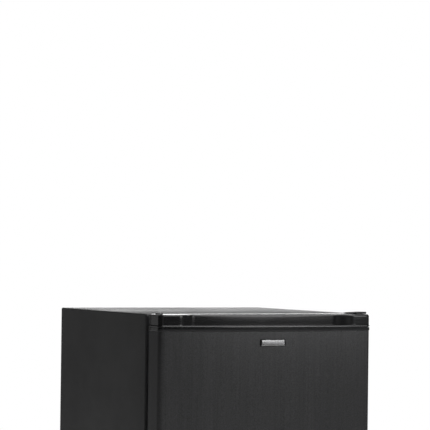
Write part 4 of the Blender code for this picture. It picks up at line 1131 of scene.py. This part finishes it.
# ---------------------------------------------------------------- machinery
def compressor():
    low, high = box_of("compressor")
    centre = Vector(((low.x + high.x) / 2, (low.y + high.y) / 2, low.z + 0.002))
    dome = at(0, 0, (0, 122), (12, 121.7), (24, 120.3), (34, 116.5), (42, 110), (48, 101))
    dome += at(0, 0, (51.5, 90), (53, 78), (53.3, 70.5), (54.8, 69.5), (55.5, 68), (55.5, 64))
    dome += at(0, 0, (54.5, 62.5), (53, 61.5), (52.4, 45), (50.5, 28), (45.5, 12), (36, 4))
    dome += at(0, 0, (20, 0.8), (0, 0))
    shape = bmesh.new()
    turned(shape, dome, centre, sides=96, stretch=SHELL_STRETCH)
    base = (low.x, low.y + 0.0035, low.z), (high.x, high.y - 0.0035, low.z + 0.004)
    soft_box(shape, *base, 0.012, 0.0008, "Z", 6)
    bead = []
    for i in range(96):
        angle = 2 * math.pi * i / 96
        a, b = 0.0551 * SHELL_STRETCH * math.cos(angle), 0.0551 * math.sin(angle)
        bead.append(centre + Vector((a, b, 0.0703)))
    swept(shape, bead, 0.0010, 8, closed=True)
    tube = [centre + Vector((-0.030, y, z)) for y, z in at(0, 0, (48, 40), (53.5, 40), (53.5, 70))]
    swept(shape, rounded(tube, 0.003), 0.0024, 12)
    add_piece("compressor_shell", shape, "cabinet", "black_enamel", ("compressor",))
    for number in range(1, 5):
        node = f"compressor_grommet_{number}"
        low, high = box_of(node)
        neck = [(0.009, 0.30), (0.0076, 0.36), (0.0076, 0.64), (0.009, 0.70)]
        profile = at(0, low.z, (4, 0), (8.8, 0), (9, 0.6))
        profile += [(radius, low.z + (high.z - low.z) * part) for radius, part in neck]
        profile += at(0, high.z, (9, -0.6), (8.6, 0), (4, 0)) + [(0.004, low.z)]
        spun(f"grommet_{number}", node, "cabinet", "black_rubber", profile)
        node = f"compressor_bolt_{number}"
        spot = (*middle(node).xy, 0.0)
        low, high = box_of(node)
        head = at(0, high.z, (0, 0), (4.6, 0), (5.2, -0.5), (6.2, -1.6), (6.2, -4), (0, -4))
        shank = at(0, low.z, (0, 0), (2.8, 0), (3.2, 0.5)) + at(0, high.z, (3.2, -4.2), (0, -4.2))
        washer = at(0, high.z, (3.4, -4.6), (7.5, -4.6), (7.5, -3.8), (3.4, -3.8), (3.4, -4.6))
        shape = bmesh.new()
        for part, sides in ((head, 6), (shank, 24), (washer, 32)):
            turned(shape, part, spot, sides=sides)
        add_piece(f"mount_bolt_{number}", shape, "cabinet", "zinc", (node,), sharp=25.0)
    low, high = box_of("terminal_cover")
    shape = bmesh.new()
    soft_box(shape, low, high, 0.005, 0.003, "X", 5)
    face = (high.x - 0.0032, low.y + 0.010, low.z + 0.012), (high.x, high.y - 0.010, high.z - 0.014)
    soft_box(shape, *face, 0.003, 0.0008, "X", 4)
    for y in (low.y + 0.006, high.y - 0.010):
        clip = (low.x + 0.006, y, high.z - 0.004), (low.x + 0.026, y + 0.004, high.z)
        soft_box(shape, *clip, 0.001, 0.0006, "Z", 3)
    add_piece("terminal_box", shape, "cabinet", "black_plastic", ("terminal_cover",))


def condenser():
    """One serpentine tube with upright wires welded across both its faces."""
    points = [(-COIL_HALF, COIL_Y, 0.1900)]
    for i in range(COIL_PASSES):
        side = -COIL_HALF if i % 2 == 0 else COIL_HALF
        level = COIL_LOW + i * COIL_PITCH
        points += [(side, COIL_Y, level), (-side, COIL_Y, level)]
    top = COIL_LOW + (COIL_PASSES - 1) * COIL_PITCH
    points = points[:-1] + [(DRIER_X, COIL_Y, top), (DRIER_X, COIL_Y, 0.1700)]
    shape = bmesh.new()
    swept(shape, rounded(points, 0.012, 8), 0.0024, 14)
    count, overhang = 38, 0.008
    for i in range(count):
        x = -0.162 + 0.324 * i / (count - 1)
        for y in (COIL_Y - 0.0030, COIL_Y + 0.0030):
            swept(shape, [(x, y, COIL_LOW - overhang), (x, y, top + overhang)], 0.0007, 8)
    add_piece("condenser_grid", shape, "cabinet", "black_enamel", ("condenser_coil",))
    for number in range(1, 5):
        node = f"condenser_spacer_{number}"
        low, high = box_of(node)
        shape, bore = bmesh.new(), bmesh.new()
        soft_box(shape, low, high, 0.004, 0.0012, "X", 4)
        rod(bore, 0.0026, low.x - 0.002, high.x + 0.002, (0.0, COIL_Y, middle(node).z), "X")
        carve(add_piece(f"coil_spacer_{number}", shape, "cabinet", "black_plastic", (node,)), bore)


def pipes():
    spot = middle("compressor")
    behind = BACK + 0.009
    out_x, out_z = PIPE_ENTRY
    suction = [(spot.x + 0.030, spot.y + 0.0510, 0.120), (spot.x + 0.030, behind, 0.120)]
    suction += [(out_x, behind, 0.120), (out_x, behind, out_z), (out_x, BACK - 0.028, out_z)]
    shell_x = spot.x - SHELL_RADIUS * SHELL_STRETCH - 0.0002
    discharge = [(shell_x, spot.y, 0.085), (-COIL_HALF, spot.y, 0.085)]
    discharge += [(-COIL_HALF, COIL_Y, 0.085), (-COIL_HALF, COIL_Y, 0.1897)]
    out_x, out_z = CAPILLARY_ENTRY
    behind = BACK + 0.0055
    capillary = [(DRIER_X, COIL_Y, 0.0797), (DRIER_X, COIL_Y, 0.060), (out_x, COIL_Y, 0.060)]
    capillary += [(out_x, behind, 0.150), (out_x, behind, out_z), (out_x, BACK - 0.020, out_z)]
    for name, node, path, radius, bend in (
        ("suction_line", "suction_pipe", suction, 0.0032, 0.008),
        ("discharge_line", "discharge_pipe", discharge, 0.0024, 0.012),
        ("capillary_line", "capillary_tube", capillary, 0.0010, 0.006),
    ):
        shape = bmesh.new()
        swept(shape, rounded(path, bend, 8), radius, 14)
        add_piece(name, shape, "cabinet", "copper", (node,))
    node = "filter_drier"
    low, high = box_of(node)
    profile = at(0, low.z, (0, 0), (2, 0), (2.6, 6), (3.4, 10), (7.2, 15.5), (7.9, 19))
    profile += at(0, high.z, (7.9, -19), (7.2, -15.5), (3.4, -10), (2.8, -6), (2.8, 0), (0, 0))
    shape = bmesh.new()
    turned(shape, profile, (DRIER_X, COIL_Y, 0.0), sides=36)
    add_piece("drier_body", shape, "cabinet", "copper", (node,))


def small_parts():
    node = "evaporation_pan"
    low, high = box_of(node)
    rings = at(0, low.z, (3, 0), (1.6, 0.4), (1, 2))
    rings += at(0, high.z, (0.6, -3), (0, -2.6), (0, -0.4), (0.5, 0), (1.8, 0), (2.2, -0.6))
    rings += at(0, low.z, (2.5, 3.5), (4.5, 1.5))
    basin("melt_pan", node, "cabinet", "black_plastic", rings, 0.008, 6)
    node = "drain_spout"
    low, high = box_of(node)
    profile = at(0, low.z, (3.4, 0), (4.4, 0), (5, 2)) + at(0, high.z, (5, 0), (3.4, 0))
    spun("drain_tube", node, "cabinet", "white_plastic", profile + [(0.0034, low.z)], 32)
    node = "cord_gland"
    low, high = box_of(node)
    profile = at(0, low.y, (3.8, 0), (6.6, 0), (7, 0.6))
    profile += at(0, high.y, (7, -8), (9.8, -7.8), (10, -7), (9.6, -6.2), (6.8, -5.6), (6, -0.4))
    profile += at(0, high.y, (5.6, 0), (3.8, 0)) + [(0.0038, low.y)]
    spun("outlet_gland", node, "cabinet", "black_rubber", profile, 40, "Y")


# ---------------------------------------------------------------- stage, light and camera
def stage():
    """A round pale floor, a backdrop that only the camera sees as white, and the lamps."""
    shape = bmesh.new()
    bmesh.ops.create_circle(shape, cap_ends=True, segments=128, radius=2.6)
    floor = held("floor", mesh_of("floor", shape))
    look = Look("pale_floor")
    look.tint(look.noise(3.0, 3.0), 0.3, 0.7, (0.80, 0.80, 0.80), (0.84, 0.84, 0.84))
    look.gloss(look.noise(40.0, 3.0), 0.3, 0.7, 0.55, 0.65)
    floor.data.materials.append(look.material)

    world = bpy.data.worlds.new("studio")
    bpy.context.scene.world = world
    world.use_nodes = True
    tree = world.node_tree
    tree.nodes.clear()
    ray = tree.nodes.new("ShaderNodeLightPath")
    mix = tree.nodes.new("ShaderNodeMixShader")
    output = tree.nodes.new("ShaderNodeOutputWorld")
    tree.links.new(ray.outputs["Is Camera Ray"], mix.inputs["Fac"])
    for socket, strength in ((1, 0.048), (2, 1.0)):
        light = tree.nodes.new("ShaderNodeBackground")
        light.inputs["Color"].default_value = (1, 1, 1, 1)
        light.inputs["Strength"].default_value = strength
        tree.links.new(light.outputs["Background"], mix.inputs[socket])
    tree.links.new(mix.outputs["Shader"], output.inputs["Surface"])
    bpy.context.scene.view_settings.view_transform = "Standard"

    for name, spot, aim, size, power in (
        ("overhead", (0.2, -0.8, 2.4), (0.0, -0.1, 0.3), (2.4, 1.8), 52.0),
        ("rear_left", (-1.75, 2.5, 0.6), (0.0, 0.0, 0.3), (1.3, 1.8), 2.0),
        ("camera_left", (-2.2, -3.2, 0.9), (0.0, 0.0, 0.3), (1.0, 1.6), 1.6),
        ("front_right", (2.2, -2.6, 1.2), (0.0, -0.2, 0.3), (1.6, 1.8), 0.7),
        ("near_front", (0.60, -1.05, 0.80), (0.0, -0.25, 0.43), (0.9, 0.3), 6.3),
        ("low_rear", (1.5, 3.4, 0.75), (0.0, 0.0, 0.5), (4.0, 0.8), 32.0),
        ("high_rear", (1.2, 2.6, 1.9), (0.0, 0.0, 0.5), (3.0, 1.0), 6.0),
    ):
        data = bpy.data.lights.new(name, "AREA")
        data.shape = "RECTANGLE"
        data.size, data.size_y = size
        data.energy = power
        made = held(name, data)
        made.location = spot
        made.visible_camera = False
        made.rotation_euler = (Vector(aim) - Vector(spot)).to_track_quat("-Z", "Y").to_euler()


def camera():
    """Nearly level, 27 degrees round to the object's left, with a long lens."""
    yaw, pitch, roll = 0.46680, -0.01211, 0.01235
    data = bpy.data.cameras.new("camera")
    data.sensor_width = 36.0
    data.lens = 199.94
    data.clip_end = 50.0
    flat = Vector((math.sin(yaw), math.cos(yaw), 0.0))
    ahead = flat * math.cos(pitch) - Vector((0.0, 0.0, math.sin(pitch)))
    right = Vector((math.cos(yaw), -math.sin(yaw), 0.0))
    up = right.cross(ahead)
    across = right * math.cos(roll) + up * math.sin(roll)
    upward = up * math.cos(roll) - right * math.sin(roll)
    turn = Matrix((across, upward, -ahead)).transposed()
    place = Vector((-HALF, FRONT, TOP)) + Vector((-1.8948, -4.0420, 0.1322))
    made = held("camera", data)
    made.matrix_world = Matrix.Translation(place) @ turn.to_4x4()
    bpy.context.scene.camera = made


def main():
    cabinet_skin()
    rear_panel()
    food_liner()
    hinge_cover()
    for label in ("left", "right"):
        cross_screw(f"hinge_screw_{label}", f"top_hinge_screw_{label}", 0.0036, 0.0018, "Y")
    for label in ("inner", "outer"):
        node = f"bottom_hinge_screw_{label}"
        cross_screw(f"bracket_screw_{label}", node, 0.0042, 0.0022, "Z")
    feet()
    door_skin()
    top_cap()
    bottom_cap()
    gasket()
    door_inner()
    badge()
    door_hardware()
    rack("lower")
    rack("upper")
    evaporator()
    flap()
    tray()
    shelf()
    thermostat()
    compressor()
    condenser()
    pipes()
    small_parts()
    refined("bottom_pan", "zinc", 0.0004, 2)
    refined("top_hinge_plate", "zinc", 0.0004, 2)
    refined("bottom_hinge_bracket", "zinc", 0.0006, 3)
    refined("compressor_tray", "zinc", 0.0004, 2)
    refined("icebox_frame", "white_plastic", 0.0010, 3)
    for node in ("cabinet_foam", "door_foam"):
        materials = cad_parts[node].data.materials
        materials.clear()
        materials.append(LOOKS["foam"])
    stage()
    camera()


main()
